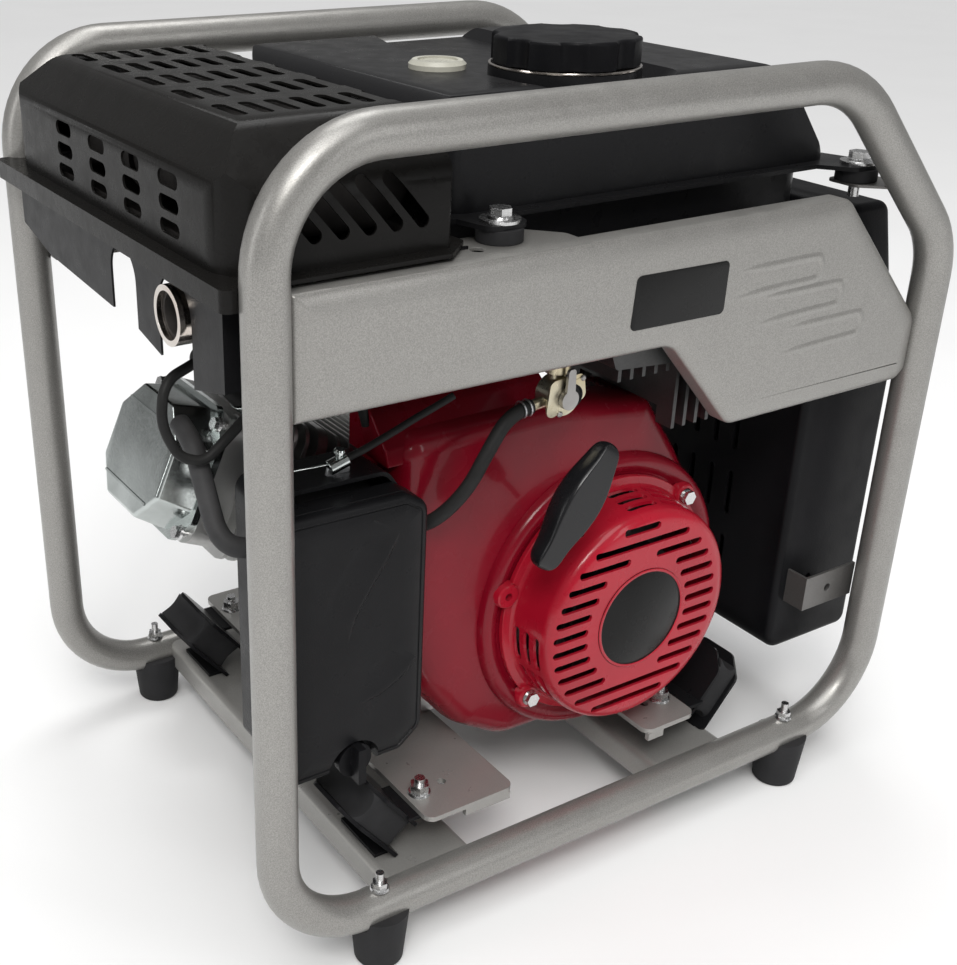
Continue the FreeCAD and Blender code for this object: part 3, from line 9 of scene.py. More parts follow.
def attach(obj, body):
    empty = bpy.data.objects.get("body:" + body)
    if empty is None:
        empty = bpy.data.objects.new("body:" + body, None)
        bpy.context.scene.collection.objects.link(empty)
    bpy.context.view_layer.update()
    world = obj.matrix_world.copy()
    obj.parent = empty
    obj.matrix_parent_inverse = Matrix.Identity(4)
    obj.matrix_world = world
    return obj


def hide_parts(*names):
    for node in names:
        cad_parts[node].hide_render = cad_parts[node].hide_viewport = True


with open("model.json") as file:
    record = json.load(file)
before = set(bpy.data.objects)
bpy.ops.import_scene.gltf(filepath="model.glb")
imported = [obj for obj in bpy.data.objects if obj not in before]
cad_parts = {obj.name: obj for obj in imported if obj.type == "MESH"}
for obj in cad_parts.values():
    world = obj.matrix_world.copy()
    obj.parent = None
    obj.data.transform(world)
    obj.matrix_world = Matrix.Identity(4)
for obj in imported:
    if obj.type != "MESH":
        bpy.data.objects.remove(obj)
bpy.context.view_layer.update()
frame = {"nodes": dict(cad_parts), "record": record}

NODES = frame["nodes"]
NODE_BODY = {n: b for b, ns in frame["record"]["behaviour"]["bodies"].items() for n in ns}
SLOT = {s["node"]: s["material_slot"] for s in frame["record"]["subparts"]}
SH = (-288.35, -193.0, 46.0)
HOOP_W = 386.0
random.seed(4)


def P(x, y, z):
    """Working millimetres (near hoop corner = 0) to row-frame metres."""
    return Vector(((x + SH[0]) / 1000.0, (y + SH[1]) / 1000.0, (z + SH[2]) / 1000.0))


# ------------------------------------------------------------- materials --
def new_mat(name):
    m = bpy.data.materials.new(name)
    m.use_nodes = True
    nt = m.node_tree
    b = nt.nodes["Principled BSDF"]
    tc = nt.nodes.new("ShaderNodeTexCoord")
    return m, nt, b, tc


def noise(nt, tc, scale, detail=3.0, rough=0.55, stretch=None):
    n = nt.nodes.new("ShaderNodeTexNoise")
    n.inputs["Scale"].default_value = scale
    n.inputs["Detail"].default_value = detail
    n.inputs["Roughness"].default_value = rough
    if stretch:
        mp = nt.nodes.new("ShaderNodeMapping")
        mp.inputs["Scale"].default_value = stretch
        nt.links.new(tc.outputs["Object"], mp.inputs["Vector"])
        nt.links.new(mp.outputs["Vector"], n.inputs["Vector"])
    else:
        nt.links.new(tc.outputs["Object"], n.inputs["Vector"])
    return n


def ramp(nt, src, stops):
    r = nt.nodes.new("ShaderNodeValToRGB")
    e = r.color_ramp.elements
    while len(e) < len(stops):
        e.new(0.5)
    for k, (p, c) in enumerate(stops):
        e[k].position = p
        e[k].color = (c[0], c[1], c[2], 1.0) if hasattr(c, "__len__") else (c, c, c, 1.0)
    nt.links.new(src, r.inputs["Fac"])
    return r


def mix(nt, fac, a, b, mode="MIX"):
    m = nt.nodes.new("ShaderNodeMix")
    m.data_type = "RGBA"
    m.blend_type = mode
    for sock, v in ((m.inputs[0], fac), (m.inputs[6], a), (m.inputs[7], b)):
        if hasattr(v, "links"):
            nt.links.new(v, sock)
        elif hasattr(v, "__len__"):
            sock.default_value = (v[0], v[1], v[2], 1.0)
        else:
            sock.default_value = v
    return m.outputs[2]


def bump(nt, b, src, strength, dist, prev=None):
    n = nt.nodes.new("ShaderNodeBump")
    n.inputs["Strength"].default_value = strength
    n.inputs["Distance"].default_value = dist
    nt.links.new(src, n.inputs["Height"])
    if prev is not None:
        nt.links.new(prev, n.inputs["Normal"])
    nt.links.new(n.outputs["Normal"], b.inputs["Normal"])
    return n.outputs["Normal"]


def grime(nt, tc, col, dust, amount):
    """Dust that gathers on upward faces and in patches."""
    g = nt.nodes.new("ShaderNodeNewGeometry")
    sx = nt.nodes.new("ShaderNodeSeparateXYZ")
    nt.links.new(g.outputs["Normal"], sx.inputs[0])
    up = nt.nodes.new("ShaderNodeMapRange")
    up.inputs["From Min"].default_value = 0.2
    up.inputs["From Max"].default_value = 1.0
    up.inputs["To Max"].default_value = amount
    nt.links.new(sx.outputs["Z"], up.inputs["Value"])
    n = noise(nt, tc, 22.0, 5.0, 0.6)
    mu = nt.nodes.new("ShaderNodeMath")
    mu.operation = "MULTIPLY"
    nt.links.new(up.outputs[0], mu.inputs[0])
    nt.links.new(n.outputs["Fac"], mu.inputs[1])
    return mix(nt, mu.outputs[0], col, dust)


def edge_wear(nt, col, bright, lo=0.52, hi=0.60, amt=0.5):
    g = nt.nodes.new("ShaderNodeNewGeometry")
    mr = nt.nodes.new("ShaderNodeMapRange")
    mr.inputs["From Min"].default_value = lo
    mr.inputs["From Max"].default_value = hi
    mr.inputs["To Max"].default_value = amt
    nt.links.new(g.outputs["Pointiness"], mr.inputs["Value"])
    return mix(nt, mr.outputs[0], col, bright)


def mat_powder(name, base, metallic=0.35, rough=0.42, flake=0.06, bscale=1400.0, bstr=0.12, dust=0.06, coat=0.0, spec=0.5):
    m, nt, b, tc = new_mat(name)
    n = noise(nt, tc, bscale, 2.0)
    lo = [max(0.0, c * (1 - flake * 3)) for c in base]
    hi = [min(1.0, c * (1 + flake * 3)) for c in base]
    c = ramp(nt, n.outputs["Fac"], [(0.32, lo), (0.68, hi)]).outputs["Color"]
    big = noise(nt, tc, 9.0, 3.0)
    c = mix(nt, ramp(nt, big.outputs["Fac"], [(0.35, 0.0), (0.75, 0.22)]).outputs["Color"], c, [x * 0.86 for x in base])
    c = grime(nt, tc, c, (0.34, 0.32, 0.29), dust)
    nt.links.new(c, b.inputs["Base Color"])
    r = noise(nt, tc, 60.0, 4.0)
    rr = ramp(nt, r.outputs["Fac"], [(0.3, rough - 0.05), (0.7, rough + 0.07)])
    nt.links.new(rr.outputs["Color"], b.inputs["Roughness"])
    b.inputs["Metallic"].default_value = metallic
    b.inputs["Specular IOR Level"].default_value = spec
    if coat:
        b.inputs["Coat Weight"].default_value = coat
        b.inputs["Coat Roughness"].default_value = 0.2
    n2 = bump(nt, b, n.outputs["Fac"], bstr, 0.0004)
    pe = noise(nt, tc, 260.0, 2.0)
    bump(nt, b, pe.outputs["Fac"], bstr * 0.8, 0.0006, n2)
    return m


def mat_enamel(name, base, rough=0.16, coat=1.0, dark=0.75, spec=0.5, metallic=0.0):
    m, nt, b, tc = new_mat(name)
    big = noise(nt, tc, 14.0, 3.0)
    c = ramp(nt, big.outputs["Fac"], [(0.3, [x * dark for x in base]), (0.75, base)]).outputs["Color"]
    c = grime(nt, tc, c, (0.25, 0.15, 0.14), 0.08)
    nt.links.new(c, b.inputs["Base Color"])
    r = noise(nt, tc, 35.0, 5.0)
    rr = ramp(nt, r.outputs["Fac"], [(0.3, rough), (0.75, rough + 0.10)])
    nt.links.new(rr.outputs["Color"], b.inputs["Roughness"])
    b.inputs["Specular IOR Level"].default_value = spec
    b.inputs["Coat Weight"].default_value = coat
    b.inputs["Coat Roughness"].default_value = 0.06
    b.inputs["Metallic"].default_value = metallic
    pe = noise(nt, tc, 130.0, 2.0)
    bump(nt, b, pe.outputs["Fac"], 0.10, 0.0010)
    return m


def mat_plastic(name, base, rough=0.5, tex=1.0, scale=900.0, dust=0.04, spec=0.5):
    m, nt, b, tc = new_mat(name)
    v = nt.nodes.new("ShaderNodeTexVoronoi")
    v.inputs["Scale"].default_value = scale
    nt.links.new(tc.outputs["Object"], v.inputs["Vector"])
    n = noise(nt, tc, 18.0, 4.0)
    c = ramp(nt, n.outputs["Fac"], [(0.3, [x * 0.8 for x in base]), (0.75, [x * 1.2 for x in base])]).outputs["Color"]
    c = grime(nt, tc, c, (0.16, 0.155, 0.15), dust)
    c = edge_wear(nt, c, [min(1, x * 1.8 + 0.006) for x in base], 0.53, 0.66, 0.35)
    nt.links.new(c, b.inputs["Base Color"])
    r = noise(nt, tc, 45.0, 4.0)
    rr = ramp(nt, r.outputs["Fac"], [(0.3, max(0.05, rough - 0.07)), (0.7, rough + 0.09)])
    nt.links.new(rr.outputs["Color"], b.inputs["Roughness"])
    b.inputs["Specular IOR Level"].default_value = spec
    n1 = bump(nt, b, v.outputs["Distance"], 0.22 * tex, 0.0003)
    n3 = noise(nt, tc, scale * 0.35, 3.0)
    bump(nt, b, n3.outputs["Fac"], 0.10 * tex, 0.0004, n1)
    return m


def mat_metal(name, base, rough=0.32, var=0.10, bscale=500.0, bstr=0.08, stretch=None, tint=None, metallic=1.0, wear=0.3):
    m, nt, b, tc = new_mat(name)
    n = noise(nt, tc, bscale, 4.0, 0.6, stretch)
    big = noise(nt, tc, 26.0, 4.0)
    t = tint or [x * 0.72 for x in base]
    c = ramp(nt, big.outputs["Fac"], [(0.3, t), (0.7, base)]).outputs["Color"]
    c = edge_wear(nt, c, [min(1, x * 1.25) for x in base], 0.52, 0.62, wear)
    nt.links.new(c, b.inputs["Base Color"])
    rr = ramp(nt, n.outputs["Fac"], [(0.3, max(0.04, rough - var * 0.5)), (0.7, rough + var)])
    nt.links.new(rr.outputs["Color"], b.inputs["Roughness"])
    b.inputs["Metallic"].default_value = metallic
    bump(nt, b, n.outputs["Fac"], bstr, 0.0004)
    return m


def mat_rubber(name, base=(0.018, 0.018, 0.019), rough=0.62, dust=0.05, scale=320.0):
    m, nt, b, tc = new_mat(name)
    n = noise(nt, tc, 30.0, 6.0, 0.65)
    c = ramp(nt, n.outputs["Fac"], [(0.3, base), (0.8, [x * 2.0 for x in base])]).outputs["Color"]
    c = grime(nt, tc, c, (0.15, 0.14, 0.13), dust)
    nt.links.new(c, b.inputs["Base Color"])
    f = noise(nt, tc, scale, 4.0)
    rr = ramp(nt, n.outputs["Fac"], [(0.3, rough - 0.08), (0.7, rough + 0.10)])
    nt.links.new(rr.outputs["Color"], b.inputs["Roughness"])
    bump(nt, b, f.outputs["Fac"], 0.16, 0.0005)
    b.inputs["Specular IOR Level"].default_value = 0.14
    return m


M = {
    "frame_paint": mat_powder("frame_paint", (0.31, 0.303, 0.288), 0.55, 0.34, 0.07),
    "panel_paint": mat_powder("panel_paint", (0.31, 0.303, 0.288), 0.55, 0.34, 0.06),
    "plate_paint": mat_powder("plate_paint", (0.34, 0.333, 0.318), 0.45, 0.32, 0.03, bstr=0.06),
    "zinc_steel": mat_metal("zinc_steel", (0.66, 0.67, 0.69), 0.30),
    "zinc_bolt": mat_metal("zinc_bolt", (0.70, 0.70, 0.70), 0.24, stretch=(1, 1, 5)),
    "black_rubber": mat_rubber("black_rubber"),
    "black_steel": mat_powder("black_steel", (0.008, 0.008, 0.009), 0.0, 0.30, 0.05, dust=0.01, spec=0.11),
    "black_powder_coat": mat_powder("black_powder_coat", (0.009, 0.0085, 0.008), 0.0, 0.27, 0.06, bstr=0.16, dust=0.01, spec=0.12),
    "exhaust_steel": mat_metal("exhaust_steel", (0.36, 0.31, 0.27), 0.42, tint=(0.20, 0.13, 0.10)),
    "chrome_rim": mat_metal("chrome_rim", (0.72, 0.69, 0.66), 0.14, tint=(0.55, 0.47, 0.40)),
    "tank_paint": mat_powder("tank_paint", (0.012, 0.012, 0.013), 0.0, 0.30, 0.08, bstr=0.12, dust=0.01, spec=0.12),
    "gauge_plastic": mat_plastic("gauge_plastic", (0.50, 0.49, 0.42), 0.24, 0.2),
    "black_plastic": mat_plastic("black_plastic", (0.006, 0.006, 0.007), 0.38, 1.0, spec=0.10, dust=0.01),
    "dark_plastic": mat_plastic("dark_plastic", (0.008, 0.008, 0.009), 0.32, 1.0, spec=0.14, dust=0.01),
    "valve_metal": mat_metal("valve_metal", (0.60, 0.57, 0.46), 0.30, tint=(0.48, 0.40, 0.24)),
    "cast_aluminium": mat_metal("cast_aluminium", (0.58, 0.58, 0.57), 0.42, bscale=700.0, bstr=0.30),
    "bright_steel": mat_metal("bright_steel", (0.62, 0.66, 0.65), 0.15, 0.06, bstr=0.04, tint=(0.42, 0.45, 0.44)),
    "bracket_steel": mat_powder("bracket_steel", (0.16, 0.155, 0.15), 0.6, 0.36, 0.04),
    "forged_steel": mat_metal("forged_steel", (0.40, 0.39, 0.38), 0.36),
    "cast_iron": mat_metal("cast_iron", (0.16, 0.16, 0.16), 0.55, bstr=0.4),
    "stator_steel": mat_metal("stator_steel", (0.46, 0.30, 0.17), 0.38, stretch=(1, 12, 1)),
    "red_gloss": mat_enamel("red_gloss", (0.23, 0.003, 0.014), 0.22, 0.22, spec=0.16),
    "red_paint": mat_enamel("red_paint", (0.46, 0.006, 0.024), 0.24, 0.35, spec=0.25),
    "handle_rubber": mat_plastic("handle_rubber", (0.008, 0.008, 0.009), 0.22, 0.25, dust=0.0, spec=0.34),
    "filter_foam": mat_rubber("filter_foam", (0.10, 0.10, 0.10), 0.9, scale=900.0),
    "hose_rubber": mat_rubber("hose_rubber", (0.014, 0.014, 0.014), 0.48, dust=0.10),
    "heat_sink_aluminium": mat_metal("heat_sink_aluminium", (0.11, 0.11, 0.11), 0.50, bscale=600.0, bstr=0.4),
    "panel_plastic": mat_plastic("panel_plastic", (0.03, 0.03, 0.033), 0.38, 0.6),
    "socket_plastic": mat_plastic("socket_plastic", (0.012, 0.012, 0.012), 0.40, 0.8),
    "lid_plastic": mat_plastic("lid_plastic", (0.02, 0.05, 0.22), 0.34, 0.6),
    "knob_plastic": mat_plastic("knob_plastic", (0.02, 0.02, 0.02), 0.35, 0.5),
    "switch_plastic": mat_plastic("switch_plastic", (0.50, 0.02, 0.02), 0.22, 0.2),
    "button_plastic": mat_plastic("button_plastic", (0.45, 0.45, 0.44), 0.30, 0.3),
    "hose_grey": mat_rubber("hose_grey", (0.035, 0.035, 0.036), 0.55, dust=0.14),
    "muffler_dark": mat_metal("muffler_dark", (0.055, 0.050, 0.047), 0.6, bstr=0.3, metallic=0.6),
    "label_black": mat_plastic("label_black", (0.010, 0.010, 0.010), 0.24, 0.15, dust=0.0, spec=0.14),
    "label_white": mat_plastic("label_white", (0.55, 0.55, 0.54), 0.30, 0.1, dust=0.02),
    "brass": mat_metal("brass", (0.62, 0.44, 0.18), 0.26),
    "display": mat_plastic("display", (0.005, 0.012, 0.010), 0.10, 0.0),
    "hole_shade_black": mat_plastic("hole_shade_black", (0.004, 0.004, 0.004), 0.8, 0.5),
}


# ---------------------------------------------------------------- pieces --
def finish_mesh(me, angle=35.0):
    bm = bmesh.new()
    bm.from_mesh(me)
    bmesh.ops.recalc_face_normals(bm, faces=bm.faces)
    for f in bm.faces:
        f.smooth = True
    lim = math.radians(angle)
    for e in bm.edges:
        e.smooth = not (len(e.link_faces) == 2 and e.calc_face_angle(0.0) > lim)
    bm.to_mesh(me)
    bm.free()


def add_obj(name, me, slot, body, repl=None, bevel=0.0, seg=2, ang=32.0, mats=None, sub=0):
    o = bpy.data.objects.new(name, me)
    bpy.context.scene.collection.objects.link(o)
    me.materials.clear()
    for s in (mats or [slot]):
        me.materials.append(M[s])
    if sub:
        sm = o.modifiers.new("sub", "SUBSURF")
        sm.levels = sm.render_levels = sub
    if bevel:
        bv = o.modifiers.new("bevel", "BEVEL")
        bv.width = bevel / 1000.0
        bv.segments = seg
        bv.limit_method = "ANGLE"
        bv.angle_limit = math.radians(ang)
        bv.harden_normals = True
        bv.miter_outer = "MITER_ARC"
        bv.use_clamp_overlap = True
    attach(o, body)
    if repl:
        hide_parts(*([repl] if isinstance(repl, str) else repl))
    return o


def refine(node, bevel=0.5, seg=2, mat=None, ang=32.0, dissolve=1.0, big=None):
    """A cleaned, edge-rounded copy of a CAD node's surface that stands for it."""
    src = NODES[node]
    me = src.data.copy()
    me.name = node + "_skin"
    bm = bmesh.new()
    bm.from_mesh(me)
    bmesh.ops.remove_doubles(bm, verts=bm.verts, dist=2e-6)
    bmesh.ops.dissolve_degenerate(bm, edges=bm.edges, dist=1e-6)
    if dissolve:
        bmesh.ops.dissolve_limit(bm, angle_limit=math.radians(dissolve), verts=bm.verts, edges=bm.edges, delimit={"NORMAL"})
    for f in bm.faces:
        f.smooth = True
    lim = math.radians(ang)
    for e in bm.edges:
        e.smooth = not (len(e.link_faces) == 2 and e.calc_face_angle(0.0) > lim)
    bm.to_mesh(me)
    bm.free()
    if big:
        width, min_len, test = big
        bm = bmesh.new()
        bm.from_mesh(me)
        lay = bm.edges.layers.float.get("bevel_weight_edge") or bm.edges.layers.float.new("bevel_weight_edge")
        hit = 0
        for e in bm.edges:
            if len(e.link_faces) == 2 and e.calc_length() > min_len / 1000.0 and e.is_convex:
                a_ = math.degrees(e.calc_face_angle(0.0))
                c_ = (e.verts[0].co + e.verts[1].co) * 500.0 - Vector(SH)
                if 10 < a_ < 100 and test(c_):
                    e[lay] = 1.0
                    hit += 1
        bm.to_mesh(me)
        bm.free()
        print("big edges", node, hit)
    if me.has_custom_normals:
        me.free_normals_split() if hasattr(me, "free_normals_split") else None
    o = add_obj(node + "_skin", me, SLOT[node], NODE_BODY[node], node, 0 if big else bevel, seg, ang, mats=[mat] if mat else None)
    if big:
        bw = o.modifiers.new("soft", "BEVEL")
        bw.width = width / 1000.0
        bw.segments = 5
        bw.limit_method = "WEIGHT"
        bw.harden_normals = False
        bw.use_clamp_overlap = True
        bs = o.modifiers.new("bevel", "BEVEL")
        bs.width = bevel / 1000.0
        bs.segments = 2
        bs.limit_method = "ANGLE"
        bs.angle_limit = math.radians(ang)
        bs.harden_normals = True
    return o


DONE = set()

# ---------------------------------------------------------------- camera --
cam_d = bpy.data.cameras.new("camera")
cam = bpy.data.objects.new("camera", cam_d)
bpy.context.scene.collection.objects.link(cam)
AZ, EL, RO = math.radians(-31.8857), math.radians(25.8632), math.radians(0.6081)
F_PX, CX, CY = 1364.17, 363.109, 491.898
fwd = Vector((-math.sin(AZ) * math.cos(EL), math.cos(AZ) * math.cos(EL), -math.sin(EL)))
right = Vector((math.cos(AZ), math.sin(AZ), 0.0))
upv = right.cross(fwd)
r2 = right * math.cos(RO) + upv * math.sin(RO)
u2 = -right * math.sin(RO) + upv * math.cos(RO)
loc = P(-323.289, -620.678, 681.447)
cam.matrix_world = Matrix(((r2.x, u2.x, -fwd.x, loc.x), (r2.y, u2.y, -fwd.y, loc.y), (r2.z, u2.z, -fwd.z, loc.z), (0, 0, 0, 1)))
cam_d.sensor_width = 36.0
cam_d.lens = F_PX * 36.0 / 965.0
cam_d.shift_x = (478.5 - CX) / 965.0
cam_d.shift_y = (CY - 482.5) / 965.0
cam_d.clip_start = 0.05
cam_d.clip_end = 50.0
bpy.context.scene.camera = cam


# ---------------------------------------------------------------- lights --
def area(name, loc, target, size, energy, color=(1, 1, 1), size_y=None):
    d = bpy.data.lights.new(name, "AREA")
    d.energy = energy
    d.color = color
    d.size = size
    if size_y:
        d.shape = "RECTANGLE"
        d.size_y = size_y
    o = bpy.data.objects.new(name, d)
    bpy.context.scene.collection.objects.link(o)
    o.location = loc
    o.rotation_euler = (Vector(target) - Vector(loc)).to_track_quat("-Z", "Y").to_euler()
    return o


area("key", (-1.3, -1.7, 2.3), (0, 0, 0.3), 0.8, 26, (1.0, 0.985, 0.96))
area("top", (0.3, 0.6, 2.4), (0, 0, 0.3), 1.1, 16)
area("strip", (-2.3, 0.2, 1.1), (0, 0, 0.3), 0.35, 6, (1, 1, 1), 1.5)
area("front_strip", (0.9, -2.4, 1.3), (0, 0, 0.3), 0.3, 6, (1, 1, 1), 1.6)
sun_d = bpy.data.lights.new("sun", "SUN")
sun_d.energy = 1.75
sun_d.angle = math.radians(50)
sun = bpy.data.objects.new("sun", sun_d)
bpy.context.scene.collection.objects.link(sun)
sun.rotation_euler = (math.radians(20), math.radians(-14), 0)
w = bpy.data.worlds.new("studio")
bpy.context.scene.world = w
w.use_nodes = True
bg = w.node_tree.nodes["Background"]
bg.inputs["Color"].default_value = (1.0, 1.0, 1.0, 1.0)
bg.inputs["Strength"].default_value = 0.24
bg2 = w.node_tree.nodes.new("ShaderNodeBackground")
bg2.inputs["Color"].default_value = (0.96, 0.96, 0.96, 1.0)
bg2.inputs["Strength"].default_value = 1.0
lp_ = w.node_tree.nodes.new("ShaderNodeLightPath")
ms_ = w.node_tree.nodes.new("ShaderNodeMixShader")
w.node_tree.links.new(lp_.outputs["Is Camera Ray"], ms_.inputs["Fac"])
w.node_tree.links.new(bg.outputs[0], ms_.inputs[1])
w.node_tree.links.new(bg2.outputs[0], ms_.inputs[2])
w.node_tree.links.new(ms_.outputs[0], w.node_tree.nodes["World Output"].inputs["Surface"])
bpy.context.scene.view_settings.view_transform = "Standard"

# floor
me = bpy.data.meshes.new("floor")
S = 9.0
me.from_pydata([(-S, -S, 0), (S, -S, 0), (S, S, 0), (-S, S, 0)], [], [(0, 1, 2, 3)])
floor = bpy.data.objects.new("floor", me)
bpy.context.scene.collection.objects.link(floor)
fm, nt, b, tc = new_mat("floor_pale")
fn = noise(nt, tc, 3.0, 3.0)
fc = ramp(nt, fn.outputs["Fac"], [(0.3, 0.93), (0.7, 0.95)])
nt.links.new(fc.outputs["Color"], b.inputs["Base Color"])
b.inputs["Roughness"].default_value = 0.7
b.inputs["Specular IOR Level"].default_value = 0.2
me.materials.append(fm)

# ------------------------------------------------------- mesh-code helpers --
def rpoly(pts, radii, n=6):
    """Rounded polygon: every corner gives n + 1 points, so offsets match up."""
    out = []
    k = len(pts)
    for i in range(k):
        a, c, b = Vector(pts[i - 1]), Vector(pts[i]), Vector(pts[(i + 1) % k])
        da, db = (a - c), (b - c)
        la, lb = da.length, db.length
        da.normalize()
        db.normalize()
        ang = da.angle(db)
        r = max(radii[i], 0.15)
        t = min(r / math.tan(ang / 2), la * 0.48, lb * 0.48)
        r = t * math.tan(ang / 2)
        p0, p1 = c + da * t, c + db * t
        cen = c + (da + db).normalized() * (r / math.sin(ang / 2))
        v0, v1 = p0 - cen, p1 - cen
        sw = v0.angle(v1)
        sgn = 1.0 if v0.x * v1.y - v0.y * v1.x > 0 else -1.0
        for j in range(n + 1):
            th = sgn * sw * j / n
            out.append((cen.x + v0.x * math.cos(th) - v0.y * math.sin(th), cen.y + v0.x * math.sin(th) + v0.y * math.cos(th)))
    return out


def opoly(pts, d):
    """Polygon with every side moved inwards by d."""
    k = len(pts)
    area = sum(pts[i][0] * pts[(i + 1) % k][1] - pts[(i + 1) % k][0] * pts[i][1] for i in range(k))
    s = 1.0 if area > 0 else -1.0
    res = []
    for i in range(k):
        a, c, b = Vector(pts[i - 1]), Vector(pts[i]), Vector(pts[(i + 1) % k])
        u, v = (c - a).normalized(), (b - c).normalized()
        n1, n2 = Vector((-u.y, u.x)) * s, Vector((-v.y, v.x)) * s
        den = u.x * v.y - u.y * v.x
        p, q = a + n1 * d, c + n2 * d
        if abs(den) < 1e-6:
            res.append(tuple(c + n1 * d))
        else:
            t = ((q.x - p.x) * v.y - (q.y - p.y) * v.x) / den
            res.append((p.x + u.x * t, p.y + u.y * t))
    return res


def oradii(pts, radii, d):
    """Corner radii after moving the sides in: convex shrink, concave grow."""
    k = len(pts)
    area = sum(pts[i][0] * pts[(i + 1) % k][1] - pts[(i + 1) % k][0] * pts[i][1] for i in range(k))
    s = 1.0 if area > 0 else -1.0
    out = []
    for i in range(k):
        a, c, b = pts[i - 1], pts[i], pts[(i + 1) % k]
        cr = (c[0] - a[0]) * (b[1] - c[1]) - (c[1] - a[1]) * (b[0] - c[0])
        out.append(max(1.0, radii[i] - d) if cr * s > 0 else radii[i] + d)
    return out


def loop_xz(pts, radii, inset, y, n=6):
    p = opoly(pts, inset) if inset else pts
    return [P(x, y, z) for x, z in rpoly(p, oradii(pts, radii, inset), n)]


def skin(name, loops, caps=(True, True), close=False, angle=30.0):
    me = bpy.data.meshes.new(name)
    bm = bmesh.new()
    rows = [[bm.verts.new(v) for v in lp] for lp in loops]
    k = len(loops[0])
    pairs = list(zip(rows[:-1], rows[1:])) + ([(rows[-1], rows[0])] if close else [])
    for a, b in pairs:
        for i in range(k):
            j = (i + 1) % k
            try:
                bm.faces.new((a[i], a[j], b[j], b[i]))
            except ValueError:
                pass
    if not close:
        if caps[0]:
            bm.faces.new(rows[0])
        if caps[1]:
            bm.faces.new(rows[-1])
    bmesh.ops.remove_doubles(bm, verts=bm.verts, dist=1e-6)
    bm.to_mesh(me)
    bm.free()
    finish_mesh(me, angle)
    return me


def basis(axis):
    a = Vector(axis).normalized()
    u = a.orthogonal().normalized()
    return a, u, a.cross(u)


def lathe(name, prof, origin, axis, n=96, close=True, angle=30.0):
    """Revolved solid: prof lists (radius, height along the axis) in mm."""
    a, u, v = basis(axis)
    o = P(*origin)
    me = bpy.data.meshes.new(name)
    bm = bmesh.new()
    rows = []
    for r, h in prof:
        if r < 1e-6:
            rows.append([bm.verts.new(o + a * (h / 1000.0))])
        else:
            rows.append([bm.verts.new(o + a * (h / 1000.0) + (u * math.cos(2 * math.pi * i / n) + v * math.sin(2 * math.pi * i / n)) * (r / 1000.0)) for i in range(n)])
    seq = list(zip(rows[:-1], rows[1:])) + ([(rows[-1], rows[0])] if close else [])
    for ra, rb in seq:
        if len(ra) == 1 and len(rb) == 1:
            continue
        for i in range(n):
            j = (i + 1) % n
            if len(ra) == 1:
                bm.faces.new((ra[0], rb[j], rb[i]))
            elif len(rb) == 1:
                bm.faces.new((ra[i], ra[j], rb[0]))
            else:
                bm.faces.new((ra[i], ra[j], rb[j], rb[i]))
    bm.to_mesh(me)
    bm.free()
    finish_mesh(me, angle)
    return me


def bez(pts, n=10):
    """Catmull-Rom points through pts."""
    out = []
    q = [pts[0]] + list(pts) + [pts[-1]]
    for i in range(1, len(q) - 2):
        a, b, c, d = (Vector(q[i - 1]), Vector(q[i]), Vector(q[i + 1]), Vector(q[i + 2]))
        for j in range(n):
            t = j / n
            out.append(0.5 * ((2 * b) + (c - a) * t + (2 * a - 5 * b + 4 * c - d) * t * t + (3 * b - a - 3 * c + d) * t ** 3))
    out.append(Vector(pts[-1]))
    return out


def ribbon(name, path, prof, plane_y, sgn=-1.0, sink=0.4, taper=0.15, fwd_taper=True):
    """Low pressed bead that follows path (x, z) on a face y = plane_y.
    prof lists (offset across, height); its ends fade into the face."""
    pts = bez(path, 10)
    loops = []
    m = len(pts)
    for i, p in enumerate(pts):
        d = (pts[min(i + 1, m - 1)] - pts[max(i - 1, 0)]).normalized()
        nx, nz = -d.y, d.x
        t = i / (m - 1)
        k = min(1.0, t / taper, (1 - t) / taper)
        k = k * k * (3 - 2 * k) * 0.98 + 0.02
        lp = [P(p.x + nx * u * (0.4 + 0.6 * k), plane_y + sgn * h * k, p.y + nz * u * (0.4 + 0.6 * k)) for u, h in prof]
        u0, u1 = prof[0][0], prof[-1][0]
        lp += [P(p.x + nx * u1 * 0.9, plane_y - sgn * sink, p.y + nz * u1 * 0.9), P(p.x + nx * u0 * 0.9, plane_y - sgn * sink, p.y + nz * u0 * 0.9)]
        loops.append(lp)
    return skin(name, loops, angle=60.0)


def prism_me(name, pts, radii, z0, z1, plane="xy", n=5):
    rp = rpoly(pts, radii, n)
    if plane == "xy":
        f = lambda a, b, c: P(a, b, c)
    elif plane == "xz":
        f = lambda a, b, c: P(a, c, b)
    else:
        f = lambda a, b, c: P(c, a, b)
    return skin(name, [[f(a, b, z0) for a, b in rp], [f(a, b, z1) for a, b in rp]])


def cut(me, *tools):
    """Exact boolean difference done once; returns a new mesh."""
    o = bpy.data.objects.new("tmp_a", me)
    bpy.context.scene.collection.objects.link(o)
    tmp = []
    for t in tools:
        c = bpy.data.objects.new("tmp_b", t)
        bpy.context.scene.collection.objects.link(c)
        md = o.modifiers.new("b", "BOOLEAN")
        md.object = c
        md.operation = "DIFFERENCE"
        md.solver = "EXACT"
        tmp.append(c)
    dg = bpy.context.evaluated_depsgraph_get()
    new = bpy.data.meshes.new_from_object(o.evaluated_get(dg))
    for c in tmp + [o]:
        bpy.data.objects.remove(c)
    finish_mesh(new, 30.0)
    return new


def rod_me(name, p0, p1, r, n=32):
    d = Vector(p1) - Vector(p0)
    return lathe(name, [(0, 0), (r, 0), (r, d.length), (0, d.length)], p0, d, n, close=False)


